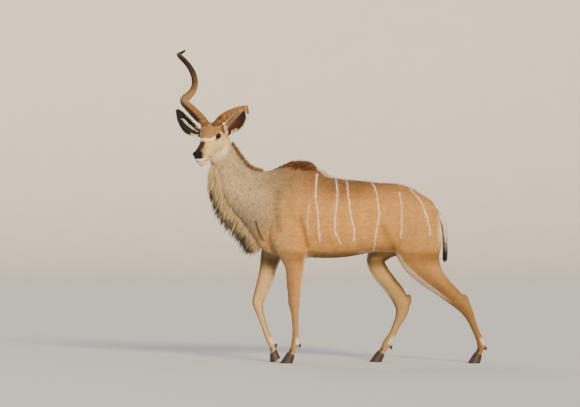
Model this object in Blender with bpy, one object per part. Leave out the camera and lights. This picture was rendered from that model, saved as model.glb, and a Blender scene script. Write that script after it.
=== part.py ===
"""Greater kudu bull, life size, walking with its head turned to its left.

Built in metres with +Z up. The animal faces -X and its left side faces -Y.
The flesh is made from lofts and muscle blobs fused into one skin, which is
then parted into head, neck, torso and legs. Ears, eyes, horns, hooves and tail
are separate solids that meet the flesh face to face with a small gap.
"""
import math
import random

import bmesh
import bpy
import numpy as np
from mathutils import Matrix, Vector

# Driving sizes
GAP = 0.0003                    # space kept between touching solids
HEAD_CENTRE = (-0.828, -0.170, 1.577)   # midway between the eyes
HEAD_YAW = math.radians(31.0)   # turn of the face from -Y towards -X
HEAD_PITCH = math.radians(35.0)  # nose below the horizontal
EYE_SPREAD = 0.067              # eye centre from the head's mid plane
EYE_RADIUS = 0.0185
HORN_BASE = (-0.055, 0.044, 0.062)  # in the head's frame, mirrored for the left
HORN_RISE = 0.590
HORN_LEAN = math.radians(38.0)  # lean of the corkscrew's axis towards the back
LEFT_DROOP = math.radians(20.0)  # the broken horn bends down towards its end
HORN_SPREAD = 0.280             # reach of the first outward sweep
HORN_FLARE = 0.200              # steady outward drift to the tip
HORN_TURN = math.radians(583.0)
HORN_PHASE = math.radians(-55.0)
HORN_COIL = 0.060               # radius of the corkscrew's axis line
HORN_THICK = 0.030              # half thickness at the base
HORN_BEND = 0.06                # share in which it turns out from the skull
HORN_TIP = 0.985                   # share in which the tip begins to round off
HORN_ROOT = 0.030               # depth of its root in the skull
BROKEN_AT = 0.187               # share of the left horn that is left
EAR_LENGTH = 0.300              # from its root inside the skull
EAR_THICK = 0.0045
HOOF_LONG = 0.044               # half length of the sole
HOOF_WIDE = 0.029
CLEFT = 0.0045                  # half width of the cleft between the two toes
CORE_SHARE = 0.5                # share of the hair that is a closed core
LEG_CUT_Z = 0.695               # height of the joint between body and legs
BODY_CENTRE = (0.002, 0.111)   # middle of the standing animal's box

COLOURS = {
    "coat": (0.42, 0.27, 0.15, 0.85),
    "horn": (0.16, 0.11, 0.07, 0.45),
    "hoof": (0.05, 0.04, 0.035, 0.5),
    "eye": (0.015, 0.01, 0.008, 0.1),
    "ear": (0.30, 0.19, 0.12, 0.8),
    "tail": (0.40, 0.27, 0.17, 0.85),
}


# Small tools

def material(name):
    """The Principled material of one finish, made once."""
    found = bpy.data.materials.get(name)
    if found:
        return found
    made = bpy.data.materials.new(name)
    made.use_nodes = True
    shader = made.node_tree.nodes["Principled BSDF"]
    red, green, blue, rough = COLOURS[name]
    shader.inputs["Base Color"].default_value = (red, green, blue, 1.0)
    shader.inputs["Roughness"].default_value = rough
    shader.inputs["Metallic"].default_value = 0.0
    return made


def new_object(name, verts, faces, finish=None):
    mesh = bpy.data.meshes.new(name)
    mesh.from_pydata([tuple(v) for v in verts], [], faces)
    mesh.update()
    made = bpy.data.objects.new(name, mesh)
    bpy.context.scene.collection.objects.link(made)
    if finish:
        mesh.materials.append(material(finish))
    return made


def smooth_rows(rows, steps):
    """Rows of numbers read from a smooth curve through the given rows."""
    rows = np.array(rows, float)
    padded = np.vstack([2 * rows[0] - rows[1], rows, 2 * rows[-1] - rows[-2]])
    out = []
    for i in range(len(rows) - 1):
        a, b, c, d = padded[i:i + 4]
        for t in np.linspace(0, 1, steps, endpoint=False):
            out.append(0.5 * (2 * b + (c - a) * t + (2 * a - 5 * b + 4 * c - d) * t ** 2
                              + (3 * b - a - 3 * c + d) * t ** 3))
    out.append(rows[-1])
    return np.array(out)


def loft(name, rings, finish=None, folded=False):
    """A closed skin over rings of equal count, its ends closed by fans.

    A folded ring runs out along one wall and back along the other, so its
    ends are closed by strips between the walls.
    """
    count = len(rings[0])
    verts = [tuple(p) for ring in rings for p in ring]
    faces = []
    for i in range(len(rings) - 1):
        for j in range(count):
            k = (j + 1) % count
            faces.append((i * count + j, i * count + k, (i + 1) * count + k, (i + 1) * count + j))
    for end, flip in ((0, True), (len(rings) - 1, False)):
        if folded:
            first = end * count
            for j in range(count // 2 - 1):
                quad = (first + j, first + j + 1, first + count - 2 - j, first + count - 1 - j)
                faces.append(quad[::-1] if flip else quad)
            continue
        middle = np.mean(rings[end], axis=0)
        verts.append(tuple(middle))
        for j in range(count):
            k = (j + 1) % count
            pair = (end * count + k, end * count + j) if flip else (end * count + j, end * count + k)
            faces.append((*pair, len(verts) - 1))
    made = new_object(name, verts, faces, finish)
    face_out(made)
    return made


def face_out(target):
    """Turns a closed mesh's faces outwards and splits them into triangles."""
    work = bmesh.new()
    work.from_mesh(target.data)
    bmesh.ops.recalc_face_normals(work, faces=work.faces)
    if work.calc_volume(signed=True) < 0:
        bmesh.ops.reverse_faces(work, faces=work.faces)
    bmesh.ops.triangulate(work, faces=work.faces[:])
    work.to_mesh(target.data)
    work.free()


def unit(vector):
    vector = np.array(vector, float)
    return vector / np.linalg.norm(vector)


def egg_ring(top, bottom, side, half_width, egg, count=20, power=1.0):
    """A ring through a top and a bottom point, fuller below where egg is above zero."""
    top, bottom, side = np.array(top), np.array(bottom), np.array(side)
    middle, rise = (top + bottom) / 2, (top - bottom) / 2
    side = unit(side - unit(rise) * np.dot(side, unit(rise)))
    ring = []
    for angle in np.linspace(0, 2 * math.pi, count, endpoint=False):
        across, up = math.cos(angle), math.sin(angle)
        across = math.copysign(abs(across) ** power, across)
        ring.append(middle + side * half_width * across * (1 - egg * up) + rise * up)
    return ring


def limb(name, stations, steps=3, count=14):
    """A tube through rows of x, y, z, half size fore and aft, half size across."""
    rows = smooth_rows(stations, steps)
    points = rows[:, :3]
    along = np.gradient(points, axis=0)
    rings = []
    for point, step, row in zip(points, along, rows):
        step = unit(step)
        across = unit(np.array([0, 1, 0]) - step * step[1])
        fore = np.cross(across, step)
        rings.append([point + fore * row[3] * math.cos(a) + across * row[4] * math.sin(a)
                      for a in np.linspace(0, 2 * math.pi, count, endpoint=False)])
    return loft(name, rings)


def blob(name, centre, radii, along=(1, 0, 0), up=(0, 0, 1), detail=3):
    """An ellipsoid whose first radius lies along the given direction."""
    along = unit(along)
    up = unit(np.array(up, float) - along * np.dot(up, along))
    side = np.cross(up, along)
    work = bmesh.new()
    bmesh.ops.create_icosphere(work, subdivisions=detail, radius=1.0)
    mesh = bpy.data.meshes.new(name)
    work.to_mesh(mesh)
    work.free()
    turn = Matrix((along * radii[0], side * radii[1], up * radii[2])).transposed().to_4x4()
    mesh.transform(Matrix.Translation(Vector(centre)) @ turn)
    made = bpy.data.objects.new(name, mesh)
    bpy.context.scene.collection.objects.link(made)
    face_out(made)
    return made


def apply_modifiers(target):
    graph = bpy.context.evaluated_depsgraph_get()
    graph.update()
    mesh = bpy.data.meshes.new_from_object(target.evaluated_get(graph))
    target.modifiers.clear()
    old = target.data
    target.data = mesh
    bpy.data.meshes.remove(old)


def remove(objects):
    for item in list(objects):
        bpy.data.objects.remove(item, do_unlink=True)


def keep_largest(target):
    """Keeps the closed surface that has the most faces."""
    work = bmesh.new()
    work.from_mesh(target.data)
    work.faces.ensure_lookup_table()
    seen, groups = set(), []
    for face in work.faces:
        if face.index in seen:
            continue
        group, stack = [], [face]
        seen.add(face.index)
        while stack:
            here = stack.pop()
            group.append(here)
            for edge in here.edges:
                for other in edge.link_faces:
                    if other.index not in seen:
                        seen.add(other.index)
                        stack.append(other)
        groups.append(group)
    groups.sort(key=len, reverse=True)
    spare = [face for group in groups[1:] for face in group]
    bmesh.ops.delete(work, geom=spare, context="FACES")
    work.to_mesh(target.data)
    work.free()


def fuse(name, pieces, voxel, smoothing, triangles, finish):
    """One skin over overlapping solids, evened and thinned to a triangle count."""
    joined = bmesh.new()
    for piece in pieces:
        joined.from_mesh(piece.data)
    mesh = bpy.data.meshes.new(name)
    joined.to_mesh(mesh)
    joined.free()
    remove(pieces)
    made = bpy.data.objects.new(name, mesh)
    bpy.context.scene.collection.objects.link(made)
    remesh = made.modifiers.new("skin", "REMESH")
    remesh.mode = "VOXEL"
    remesh.voxel_size = voxel
    even = made.modifiers.new("even", "SMOOTH")
    even.factor = 0.5
    even.iterations = smoothing
    apply_modifiers(made)
    keep_largest(made)
    faces = sum(len(p.vertices) - 2 for p in made.data.polygons)
    thin = made.modifiers.new("thin", "DECIMATE")
    thin.ratio = triangles / faces
    apply_modifiers(made)
    made.data.materials.clear()
    made.data.materials.append(material(finish))
    return made


def part_by_plane(source, name, point, normal, shift=GAP / 2):
    """A copy of the source on the side that the normal points to, closed by a flat face."""
    made = source.copy()
    made.data = source.data.copy()
    made.name = made.data.name = name
    bpy.context.scene.collection.objects.link(made)
    normal = unit(normal)
    work = bmesh.new()
    work.from_mesh(made.data)
    everything = work.verts[:] + work.edges[:] + work.faces[:]
    bmesh.ops.bisect_plane(work, geom=everything, dist=1e-6, plane_co=np.array(point) + normal * shift,
                           plane_no=normal, clear_inner=True)
    rim = [edge for edge in work.edges if edge.is_boundary]
    bmesh.ops.holes_fill(work, edges=rim, sides=0)
    bmesh.ops.triangulate(work, faces=work.faces[:])
    work.to_mesh(made.data)
    work.free()
    return made


def islands(source, names_by_place):
    """Parts a mesh of several closed islands into objects named by the nearest place."""
    made = []
    for name, place in names_by_place.items():
        copy = source.copy()
        copy.data = source.data.copy()
        copy.name = copy.data.name = name
        bpy.context.scene.collection.objects.link(copy)
        work = bmesh.new()
        work.from_mesh(copy.data)
        work.verts.ensure_lookup_table()
        nearest = min(work.verts, key=lambda v: (v.co - Vector(place)).length)
        keep, stack = {nearest.index}, [nearest]
        while stack:
            for edge in stack.pop().link_edges:
                for vert in edge.verts:
                    if vert.index not in keep:
                        keep.add(vert.index)
                        stack.append(vert)
        spare = [v for v in work.verts if v.index not in keep]
        bmesh.ops.delete(work, geom=spare, context="VERTS")
        work.to_mesh(copy.data)
        work.free()
        made.append(copy)
    remove([source])
    return made


def boolean(target, operation, operands):
    """One Boolean of the target with a collection of closed solids."""
    group = bpy.data.collections.new("operands")
    bpy.context.scene.collection.children.link(group)
    for item in operands:
        group.objects.link(item)
    step = target.modifiers.new("join", "BOOLEAN")
    step.operation = operation
    step.operand_type = "COLLECTION"
    step.collection = group
    step.solver = "EXACT"
    apply_modifiers(target)
    remove(operands)
    bpy.data.collections.remove(group)
    keep_largest(target)


# The head's own frame: x towards the nose, y to the animal's left, z up

def head_axes():
    fore = np.array([-math.sin(HEAD_YAW) * math.cos(HEAD_PITCH),
                     -math.cos(HEAD_YAW) * math.cos(HEAD_PITCH), -math.sin(HEAD_PITCH)])
    left = np.array([math.cos(HEAD_YAW), -math.sin(HEAD_YAW), 0.0])
    return fore, left, np.cross(fore, left)


def in_head(x, y, z):
    fore, left, up = head_axes()
    return np.array(HEAD_CENTRE) + fore * x + left * y + up * z


def along_head(x, y, z):
    fore, left, up = head_axes()
    return fore * x + left * y + up * z


def head_blob(name, centre, radii, along=(1, 0, 0), up=(0, 0, 1), detail=3):
    return blob(name, in_head(*centre), radii, along_head(*along), along_head(*up), detail)


# Flesh

TRUNK = [
    # top x, top z, bottom x, bottom z, middle y, half width, egg
    (0.715, 1.095, 0.745, 0.900, 0.0, 0.060, 0.05),
    (0.655, 1.160, 0.665, 0.830, 0.0, 0.125, 0.10),
    (0.560, 1.222, 0.540, 0.775, 0.0, 0.170, 0.14),
    (0.460, 1.250, 0.430, 0.770, 0.0, 0.185, 0.18),
    (0.340, 1.256, 0.330, 0.772, 0.0, 0.198, 0.16),
    (0.220, 1.270, 0.215, 0.752, 0.0, 0.212, 0.12),
    (0.100, 1.280, 0.100, 0.733, 0.0, 0.220, 0.12),
    (-0.010, 1.296, -0.005, 0.728, 0.0, 0.214, 0.16),
    (-0.110, 1.336, -0.110, 0.730, 0.0, 0.198, 0.24),
    (-0.210, 1.370, -0.225, 0.732, 0.0, 0.182, 0.30),
    (-0.310, 1.372, -0.340, 0.742, 0.0, 0.172, 0.24),
    (-0.400, 1.345, -0.440, 0.778, 0.0, 0.160, 0.12),
    (-0.480, 1.337, -0.525, 0.862, 0.0, 0.142, 0.04),
    (-0.545, 1.352, -0.618, 0.985, 0.0, 0.122, -0.04),
    (-0.598, 1.392, -0.710, 1.088, -0.005, 0.106, -0.06),
    (-0.640, 1.452, -0.765, 1.200, -0.015, 0.094, -0.06),
    (-0.678, 1.512, -0.802, 1.300, -0.032, 0.086, -0.04),
]


def trunk(rows=TRUNK):
    """The barrel and the neck up to the throat, one loft, or a stretch of it."""
    rings = []
    for row in smooth_rows(rows, 3):
        top_x, top_z, low_x, low_z, middle, width, egg = row
        rings.append(egg_ring((top_x, middle, top_z), (low_x, middle, low_z), (0, 1, 0),
                              width, egg, 24))
    return loft("trunk", rings)


UPPER_NECK = [
    # x, y, z, half depth, half width, bending towards the turned head
    (-0.645, -0.008, 1.235, 0.128, 0.102), (-0.684, -0.016, 1.320, 0.118, 0.095),
    (-0.727, -0.032, 1.400, 0.104, 0.087), (-0.758, -0.055, 1.485, 0.088, 0.077),
    (-0.770, -0.075, 1.560, 0.072, 0.066), (-0.771, -0.085, 1.615, 0.055, 0.052),
]


LEGS = {
    # x, y, z, half size fore and aft, half size across, from the body down
    "leg_fore_left": [
        (-0.185, -0.085, 1.200, 0.070, 0.035), (-0.240, -0.122, 1.080, 0.105, 0.050),
        (-0.300, -0.142, 0.960, 0.120, 0.062), (-0.285, -0.138, 0.840, 0.112, 0.062),
        (-0.255, -0.122, 0.750, 0.092, 0.056), (-0.242, -0.112, 0.660, 0.068, 0.046),
        (-0.246, -0.106, 0.560, 0.055, 0.038), (-0.245, -0.102, 0.475, 0.047, 0.034),
        (-0.246, -0.101, 0.420, 0.043, 0.033), (-0.243, -0.100, 0.350, 0.028, 0.023),
        (-0.240, -0.100, 0.280, 0.024, 0.019), (-0.238, -0.100, 0.205, 0.023, 0.019),
        (-0.238, -0.100, 0.150, 0.029, 0.025), (-0.252, -0.100, 0.105, 0.023, 0.021),
        (-0.270, -0.100, 0.060, 0.026, 0.025), (-0.282, -0.100, 0.030, 0.022, 0.021)],
    "leg_fore_right": [
        (-0.190, 0.085, 1.190, 0.070, 0.035), (-0.270, 0.122, 1.060, 0.105, 0.050),
        (-0.345, 0.140, 0.930, 0.112, 0.062), (-0.375, 0.132, 0.830, 0.096, 0.060),
        (-0.405, 0.120, 0.750, 0.078, 0.054), (-0.428, 0.110, 0.660, 0.062, 0.046),
        (-0.450, 0.103, 0.570, 0.056, 0.039), (-0.478, 0.098, 0.485, 0.049, 0.035),
        (-0.500, 0.096, 0.418, 0.041, 0.033), (-0.485, 0.095, 0.345, 0.028, 0.023),
        (-0.462, 0.094, 0.272, 0.023, 0.019), (-0.436, 0.093, 0.195, 0.023, 0.019),
        (-0.408, 0.092, 0.138, 0.029, 0.025), (-0.394, 0.092, 0.098, 0.022, 0.021),
        (-0.394, 0.092, 0.066, 0.024, 0.024), (-0.400, 0.092, 0.040, 0.020, 0.020)],
    "leg_hind_left": [
        (0.590, -0.078, 1.060, 0.150, 0.070), (0.605, -0.108, 0.930, 0.172, 0.085),
        (0.612, -0.122, 0.810, 0.168, 0.080), (0.640, -0.122, 0.705, 0.135, 0.068),
        (0.705, -0.116, 0.605, 0.092, 0.052), (0.790, -0.110, 0.522, 0.068, 0.040),
        (0.872, -0.106, 0.452, 0.058, 0.033), (0.932, -0.104, 0.395, 0.049, 0.033),
        (0.972, -0.103, 0.325, 0.033, 0.027), (1.000, -0.102, 0.260, 0.026, 0.021),
        (1.030, -0.101, 0.190, 0.025, 0.020), (1.052, -0.100, 0.135, 0.031, 0.026),
        (1.044, -0.100, 0.095, 0.024, 0.022), (1.028, -0.100, 0.058, 0.026, 0.025),
        (1.015, -0.100, 0.030, 0.022, 0.021)],
    "leg_hind_right": [
        (0.590, 0.078, 1.060, 0.150, 0.070), (0.570, 0.108, 0.950, 0.150, 0.085),
        (0.480, 0.125, 0.865, 0.118, 0.080), (0.378, 0.128, 0.790, 0.082, 0.070),
        (0.325, 0.122, 0.715, 0.066, 0.060), (0.352, 0.116, 0.638, 0.062, 0.050),
        (0.412, 0.110, 0.558, 0.058, 0.042), (0.478, 0.106, 0.470, 0.058, 0.034),
        (0.510, 0.104, 0.395, 0.053, 0.033), (0.498, 0.103, 0.322, 0.038, 0.027),
        (0.468, 0.102, 0.255, 0.028, 0.021), (0.434, 0.101, 0.185, 0.026, 0.020),
        (0.402, 0.100, 0.130, 0.031, 0.026), (0.380, 0.100, 0.092, 0.024, 0.022),
        (0.358, 0.100, 0.058, 0.026, 0.025), (0.344, 0.100, 0.030, 0.022, 0.021)],
}

# Coronet: middle point and slope of the foot's axis, degrees from upright, toe forward
FEET = {
    "leg_fore_left": ((-0.268, -0.100, 0.066), 24.0, 0.0),
    "leg_fore_right": ((-0.394, 0.092, 0.072), 0.0, 34.0),
    "leg_hind_left": ((1.031, -0.100, 0.066), 22.0, 0.0),
    "leg_hind_right": ((0.361, 0.100, 0.066), 28.0, 0.0),
}


def muscles():
    """Bones and muscles that show through the coat."""
    made = []
    for side in (-1, 1):
        made += [
            blob("point_of_hip", (0.440, side * 0.092, 1.150), (0.130, 0.060, 0.070)),
            blob("rump", (0.590, side * 0.078, 1.060), (0.150, 0.085, 0.115)),
            blob("pin_bone", (0.715, side * 0.050, 1.000), (0.050, 0.045, 0.090)),
            blob("shoulder_blade", (-0.225, side * 0.088, 1.140), (0.110, 0.062, 0.170),
                 (0.90, 0, 0.42), (-0.42, 0, 0.90)),
            blob("brisket", (-0.400, side * 0.045, 0.835), (0.110, 0.060, 0.075), (1, 0, -0.35)),
        ]
    made.append(blob("withers", (-0.215, 0.0, 1.320), (0.175, 0.060, 0.048), (1, 0, -0.08)))
    return made


def joints_of_bone():
    """Elbows, knees, hocks, fetlocks and dewclaws."""
    made = [
        blob("elbow_left", (-0.195, -0.125, 0.772), (0.045, 0.036, 0.055)),
        blob("elbow_right", (-0.325, 0.122, 0.770), (0.045, 0.036, 0.055)),
        blob("hock_left", (0.945, -0.104, 0.440), (0.046, 0.020, 0.021), (-0.35, 0, 0.94)),
        blob("hock_right", (0.555, 0.104, 0.432), (0.046, 0.020, 0.021), (0.10, 0, 0.99)),
        blob("knee_left", (-0.258, -0.101, 0.448), (0.032, 0.036, 0.045)),
        blob("knee_right", (-0.508, 0.096, 0.432), (0.030, 0.036, 0.043)),
    ]
    dewclaws = {"leg_fore_left": (-0.212, -0.100, 0.128), "leg_fore_right": (-0.378, 0.092, 0.122),
                "leg_hind_left": (1.078, -0.100, 0.108), "leg_hind_right": (0.428, 0.100, 0.108)}
    for name, (x, y, z) in dewclaws.items():
        for side in (-1, 1):
            made.append(blob("dewclaw", (x, y + side * 0.014, z), (0.010, 0.0095, 0.015)))
    return made


SKULL = [
    # along the head, top, bottom, half width, egg
    (-0.150, 0.000, -0.060, 0.034, 0.0),
    (-0.125, 0.036, -0.100, 0.056, 0.0),
    (-0.085, 0.060, -0.124, 0.065, 0.0),
    (-0.045, 0.070, -0.130, 0.068, -0.05),
    (-0.005, 0.062, -0.127, 0.066, -0.10),
    (0.035, 0.050, -0.122, 0.058, -0.04),
    (0.070, 0.039, -0.123, 0.051, 0.03),
    (0.105, 0.029, -0.125, 0.046, 0.08),
    (0.139, 0.022, -0.127, 0.041, 0.06),
    (0.172, 0.018, -0.125, 0.040, 0.0),
    (0.199, 0.013, -0.116, 0.039, -0.04),
    (0.219, 0.003, -0.094, 0.033, -0.04),
    (0.229, -0.014, -0.066, 0.018, 0.0),
]


def skull():
    """Skull, jaw, muzzle, lips, lids and cheeks, in the head's own frame."""
    rings = []
    for x, top, low, width, egg in smooth_rows(SKULL, 3):
        rings.append(egg_ring(in_head(x, 0, top), in_head(x, 0, low), along_head(0, 1, 0),
                              width, egg, 24, 0.92))
    made = [loft("skull", rings)]
    for side in (-1, 1):
        made += [
            head_blob("cheek", (-0.036, side * 0.046, -0.062), (0.072, 0.022, 0.052)),
            head_blob("jaw_angle", (-0.055, side * 0.034, -0.092), (0.050, 0.022, 0.036)),
            head_blob("brow", (-0.008, side * 0.056, 0.026), (0.034, 0.019, 0.013),
                      (1, side * 0.10, -0.22)),
            head_blob("face_ridge", (0.057, side * 0.044, -0.026), (0.075, 0.012, 0.017),
                      (1, side * -0.22, -0.16)),
            head_blob("upper_lip", (0.184, side * 0.028, -0.052), (0.038, 0.015, 0.026)),
            head_blob("nostril_wing", (0.210, side * 0.023, -0.006), (0.018, 0.014, 0.016)),
            head_blob("chin", (0.178, side * 0.012, -0.108), (0.034, 0.020, 0.016)),
            head_blob("ear_root", (-0.100, side * 0.058, -0.032), (0.034, 0.024, 0.034)),
            head_blob("horn_root", (HORN_BASE[0], side * 0.044, 0.038), (0.047, 0.042, 0.035)),
        ]
        made += lids(side)
    made.append(head_blob("nose_pad", (0.216, 0, -0.020), (0.018, 0.028, 0.023)))
    return made


def lids(side):
    """A soft rim of small blobs round one eye, heavier above."""
    made = []
    look = unit((0.38, side * 0.92, 0.02))
    up = unit(np.array((0, 0, 1.0)) - look * look[2])
    across = np.cross(look, up)
    centre = np.array((0.0, side * EYE_SPREAD, 0.0)) + look * 0.0085
    for turn in np.linspace(0, 2 * math.pi, 14, endpoint=False):
        high = math.sin(turn)
        place = centre + across * 0.0195 * math.cos(turn) + up * (0.0135 * high + 0.001)
        place = place - look * 0.005 * math.cos(turn) ** 2
        size = 0.0062 if high > 0.2 else 0.0050
        made.append(head_blob("lid", tuple(place), (size, size, size), detail=2))
    made.append(head_blob("eye_orbit", (0.0, side * (EYE_SPREAD - 0.018), 0.0),
                          (0.034, 0.026, 0.030)))
    return made


# Horns

def horn_path(side, steps):
    """Points of a corkscrew that leans back and spreads; side -1 is the animal's right."""
    share = np.linspace(0, 1, steps)
    turn = HORN_PHASE + HORN_TURN * share * (0.80 + 0.20 * share)
    rise = HORN_RISE * share * (1.19 - 0.19 * share)
    spread = HORN_SPREAD * (1 - np.exp(-1.97 * share)) + HORN_FLARE * share
    coil = HORN_COIL * (1 + 0.24 * share - 0.57 * share ** 2)
    out = spread + coil * np.sin(turn)
    back = rise * math.tan(HORN_LEAN) - coil * math.cos(HORN_LEAN) * np.cos(turn)
    up = rise + coil * math.sin(HORN_LEAN) * np.cos(turn)
    out, back, up = out - out[0], back - back[0], up - up[0]
    if side > 0:
        droop = LEFT_DROOP * share / 0.2
        back, up = (back * np.cos(droop) + up * np.sin(droop),
                    up * np.cos(droop) - back * np.sin(droop))
    backward = np.array([math.sin(HEAD_YAW), math.cos(HEAD_YAW), 0.0])
    left = np.array([math.cos(HEAD_YAW), -math.sin(HEAD_YAW), 0.0])
    base = in_head(HORN_BASE[0], side * HORN_BASE[1], HORN_BASE[2])
    upward = np.array([0, 0, 1.0])
    return base + np.outer(out, left * side) + np.outer(back, backward) + np.outer(up, upward)


def horn_rings(side, start, end, steps, count):
    """Rings of the horn between two shares of its path, with keel and growth rings."""
    dense = horn_path(side, 241)
    along = np.gradient(dense, axis=0)
    along /= np.linalg.norm(along, axis=1)[:, None]
    length = np.concatenate([[0], np.cumsum(np.linalg.norm(np.diff(dense, axis=0), axis=1))])
    share_of = length / length[-1]
    skull_up = along_head(-0.25, 0, 1)
    for i in np.flatnonzero(share_of < HORN_BEND):
        mix = share_of[i] / HORN_BEND
        along[i] = unit(unit(skull_up) * (1 - mix) + along[i] * mix)
    keel = unit(np.cross(along[0], along_head(1, 0, 0)))
    frames = []
    for step in along:
        keel = unit(keel - step * np.dot(keel, step))
        frames.append(keel)
    rings = []
    for share in [start - 1.0, *np.linspace(start, end, steps)]:
        sunk = unit(skull_up) * HORN_ROOT if share < start else 0.0
        share = max(share, start)
        i = int(np.argmin(abs(share_of - share)))
        keel = frames[i]
        other = np.cross(along[i], keel)
        blunt = math.sqrt(1 - (max(0.0, share - HORN_TIP) / (1.001 - HORN_TIP)) ** 2)
        thick = HORN_THICK * blunt * (1 - 0.76 * share ** 2.6) * (1 + 0.08 * math.exp(-share * 30))
        ripple = 1 + 0.028 * math.sin(share * 2 * math.pi * 34) * max(0.0, 1 - share * 1.5)
        ring = []
        twist = share * math.radians(300.0) * -side
        for angle in np.linspace(0, 2 * math.pi, count, endpoint=False):
            ridge = math.exp(-((angle - math.pi) / 0.42) ** 2) * 0.24 * min(1.0, share * 12)
            size = thick * ripple * (1 + ridge)
            turned = angle + twist
            ring.append(dense[i] - sunk + (keel * math.cos(turned) * 1.03
                                           + other * math.sin(turned) * 0.94) * size)
        rings.append(ring)
    return rings


def horns():
    """The whole right horn and the left one, which ends in a broken stump."""
    rings = horn_rings(-1, 0.0, 1.0, 54, 9)
    right = loft("horn_right", rings, "horn")
    broken = horn_rings(1, 0.0, BROKEN_AT, 15, 9)
    draw = random.Random(5)
    last = np.array(broken[-1])
    step = unit(np.mean(broken[-1], axis=0) - np.mean(broken[-2], axis=0))
    jag = [draw.uniform(-0.010, 0.022) for _ in last]
    broken[-1] = [p + step * j for p, j in zip(last, jag)]
    middle = np.mean(broken[-1], axis=0)
    broken.append([middle + (p - middle) * 0.55 + step * draw.uniform(-0.020, 0.004)
                   for p in np.array(broken[-1])])
    left = loft("horn_left", broken, "horn")
    return right, left


# Ears and eyes

EARS = {
    # root in the head's frame, axis and facing in the world, sideways sweep
    "ear_left": ((-0.110, 0.060, -0.046), (0.122, -0.218, 0.148), (-0.06, -0.58, -0.81), 0.0),
    "ear_right": ((-0.110, -0.064, -0.058), (-0.260, 0.010, 0.178), (0.03, -0.99, -0.06), -0.052),
}


EAR_SECTIONS = [
    # share of the length, half width, half angle of the wrap in degrees, forward curve
    (0.00, 0.018, 150, 0.000), (0.15, 0.022, 135, 0.001), (0.30, 0.034, 106, 0.003),
    (0.44, 0.050, 84, 0.006), (0.58, 0.055, 72, 0.009), (0.72, 0.051, 62, 0.011),
    (0.85, 0.041, 52, 0.011), (0.94, 0.024, 46, 0.009), (1.00, 0.008, 40, 0.007),
]


def ear_rings(name):
    """Rings of a cupped leaf that wraps into a tube at its root."""
    root, axis, face, sweep = EARS[name]
    axis = unit(axis)
    face = unit(np.array(face) - axis * np.dot(face, axis))
    across = np.cross(axis, face)
    base = in_head(*root)
    rings = []
    for share, half, wrap, curve in EAR_SECTIONS:
        wrap = math.radians(wrap)
        radius = half / math.sin(min(wrap, math.pi / 2))
        bow = sweep * math.sin(math.pi * share ** 0.8)
        spine = base + axis * EAR_LENGTH * share + face * curve + across * bow
        outer, inner = [], []
        for turn in np.linspace(-wrap, wrap, 9):
            spoke = across * math.sin(turn) - face * math.cos(turn)
            outer.append(spine + face * radius + spoke * radius)
            inner.append(spine + face * radius + spoke * (radius - EAR_THICK * (1 - 0.5 * share)))
        rings.append(outer + inner[::-1])
    return rings


def ears():
    return [loft(name, ear_rings(name), "ear", folded=True) for name in EARS]


def fattened(source, grow):
    """A copy of a thin solid, swollen by a small gap to cut room for it."""
    made = source.copy()
    made.data = source.data.copy()
    bpy.context.scene.collection.objects.link(made)
    work = bmesh.new()
    work.from_mesh(made.data)
    moves = [vert.normal * grow * min(3.0, vert.calc_shell_factor()) for vert in work.verts]
    for vert, move in zip(work.verts, moves):
        vert.co += move
    work.to_mesh(made.data)
    work.free()
    return made


def eye(name, side, grow=0.0):
    made = blob(name, in_head(0.0, side * EYE_SPREAD, 0.0), (EYE_RADIUS + grow,) * 3, detail=2)
    made.data.materials.append(material("eye"))
    return made


# Feet

def hoof_rings(name):
    """Rings from the sole up to the sloping coronet, and the foot's axis."""
    coronet, slope, lift = FEET[name]
    slope, lift = math.radians(slope), math.radians(lift)
    level = np.array([-1.0, 0.0, 0.0])
    axis = np.array([math.sin(slope), 0.0, math.cos(slope)])
    top_fore = np.array([-math.cos(slope), 0.0, math.sin(slope)])
    if lift:
        level = top_fore = np.array([-math.cos(lift), 0.0, -math.sin(lift)])
        axis = np.array([-math.sin(lift), 0.0, math.cos(lift)])
    rings = []
    for share in (0.0, 0.18, 0.55, 0.85, 1.0):
        long = HOOF_LONG + (0.029 - HOOF_LONG) * share
        wide = HOOF_WIDE + (0.026 - HOOF_WIDE) * share
        if lift:
            middle = np.array(coronet) - (axis * 0.064 - level * 0.024) * (1 - share)
        else:
            reach = (coronet[2] * math.tan(slope) + 0.004) * (1 - share)
            middle = np.array([coronet[0] - reach, coronet[1], coronet[2] * share])
        fore = level * (1 - share) + top_fore * share
        ring = []
        for angle in np.linspace(0, 2 * math.pi, 16, endpoint=False):
            ahead, across = math.cos(angle), math.sin(angle)
            narrow = 1 - 0.30 * max(0.0, ahead) ** 2
            ring.append(middle + fore * long * ahead + np.array([0, wide * across * narrow, 0]))
        rings.append(ring)
    return rings, axis


def hoof(name):
    """One cloven hoof on a flat sole, its cleft open at the toe; lifted heels rest on the toe."""
    rings, axis = hoof_rings(name)
    node = name.replace("leg", "hoof")
    solid = loft(node + "_whole", rings)
    made = part_by_plane(solid, node, (0, 0, 0), (0, 0, 1), 0.0)
    remove([solid])
    coronet = FEET[name][0]
    middle_x = rings[0][0][0] * 0.60 + rings[0][8][0] * 0.40
    work = bmesh.new()
    for ahead, half in ((-0.045, CLEFT * 0.35), (0.075, CLEFT * 1.3)):
        for across in (-half, half):
            for high in (-0.053, 0.059):
                work.verts.new((middle_x - ahead, coronet[1] + across, high))
    bmesh.ops.convex_hull(work, input=work.verts[:])
    mesh = bpy.data.meshes.new("cleft")
    work.to_mesh(mesh)
    work.free()
    cleft = bpy.data.objects.new("cleft", mesh)
    bpy.context.scene.collection.objects.link(cleft)
    face_out(cleft)
    boolean(made, "DIFFERENCE", [cleft])
    made.data.materials.clear()
    made.data.materials.append(material("hoof"))
    return made, axis


# Hair

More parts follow.
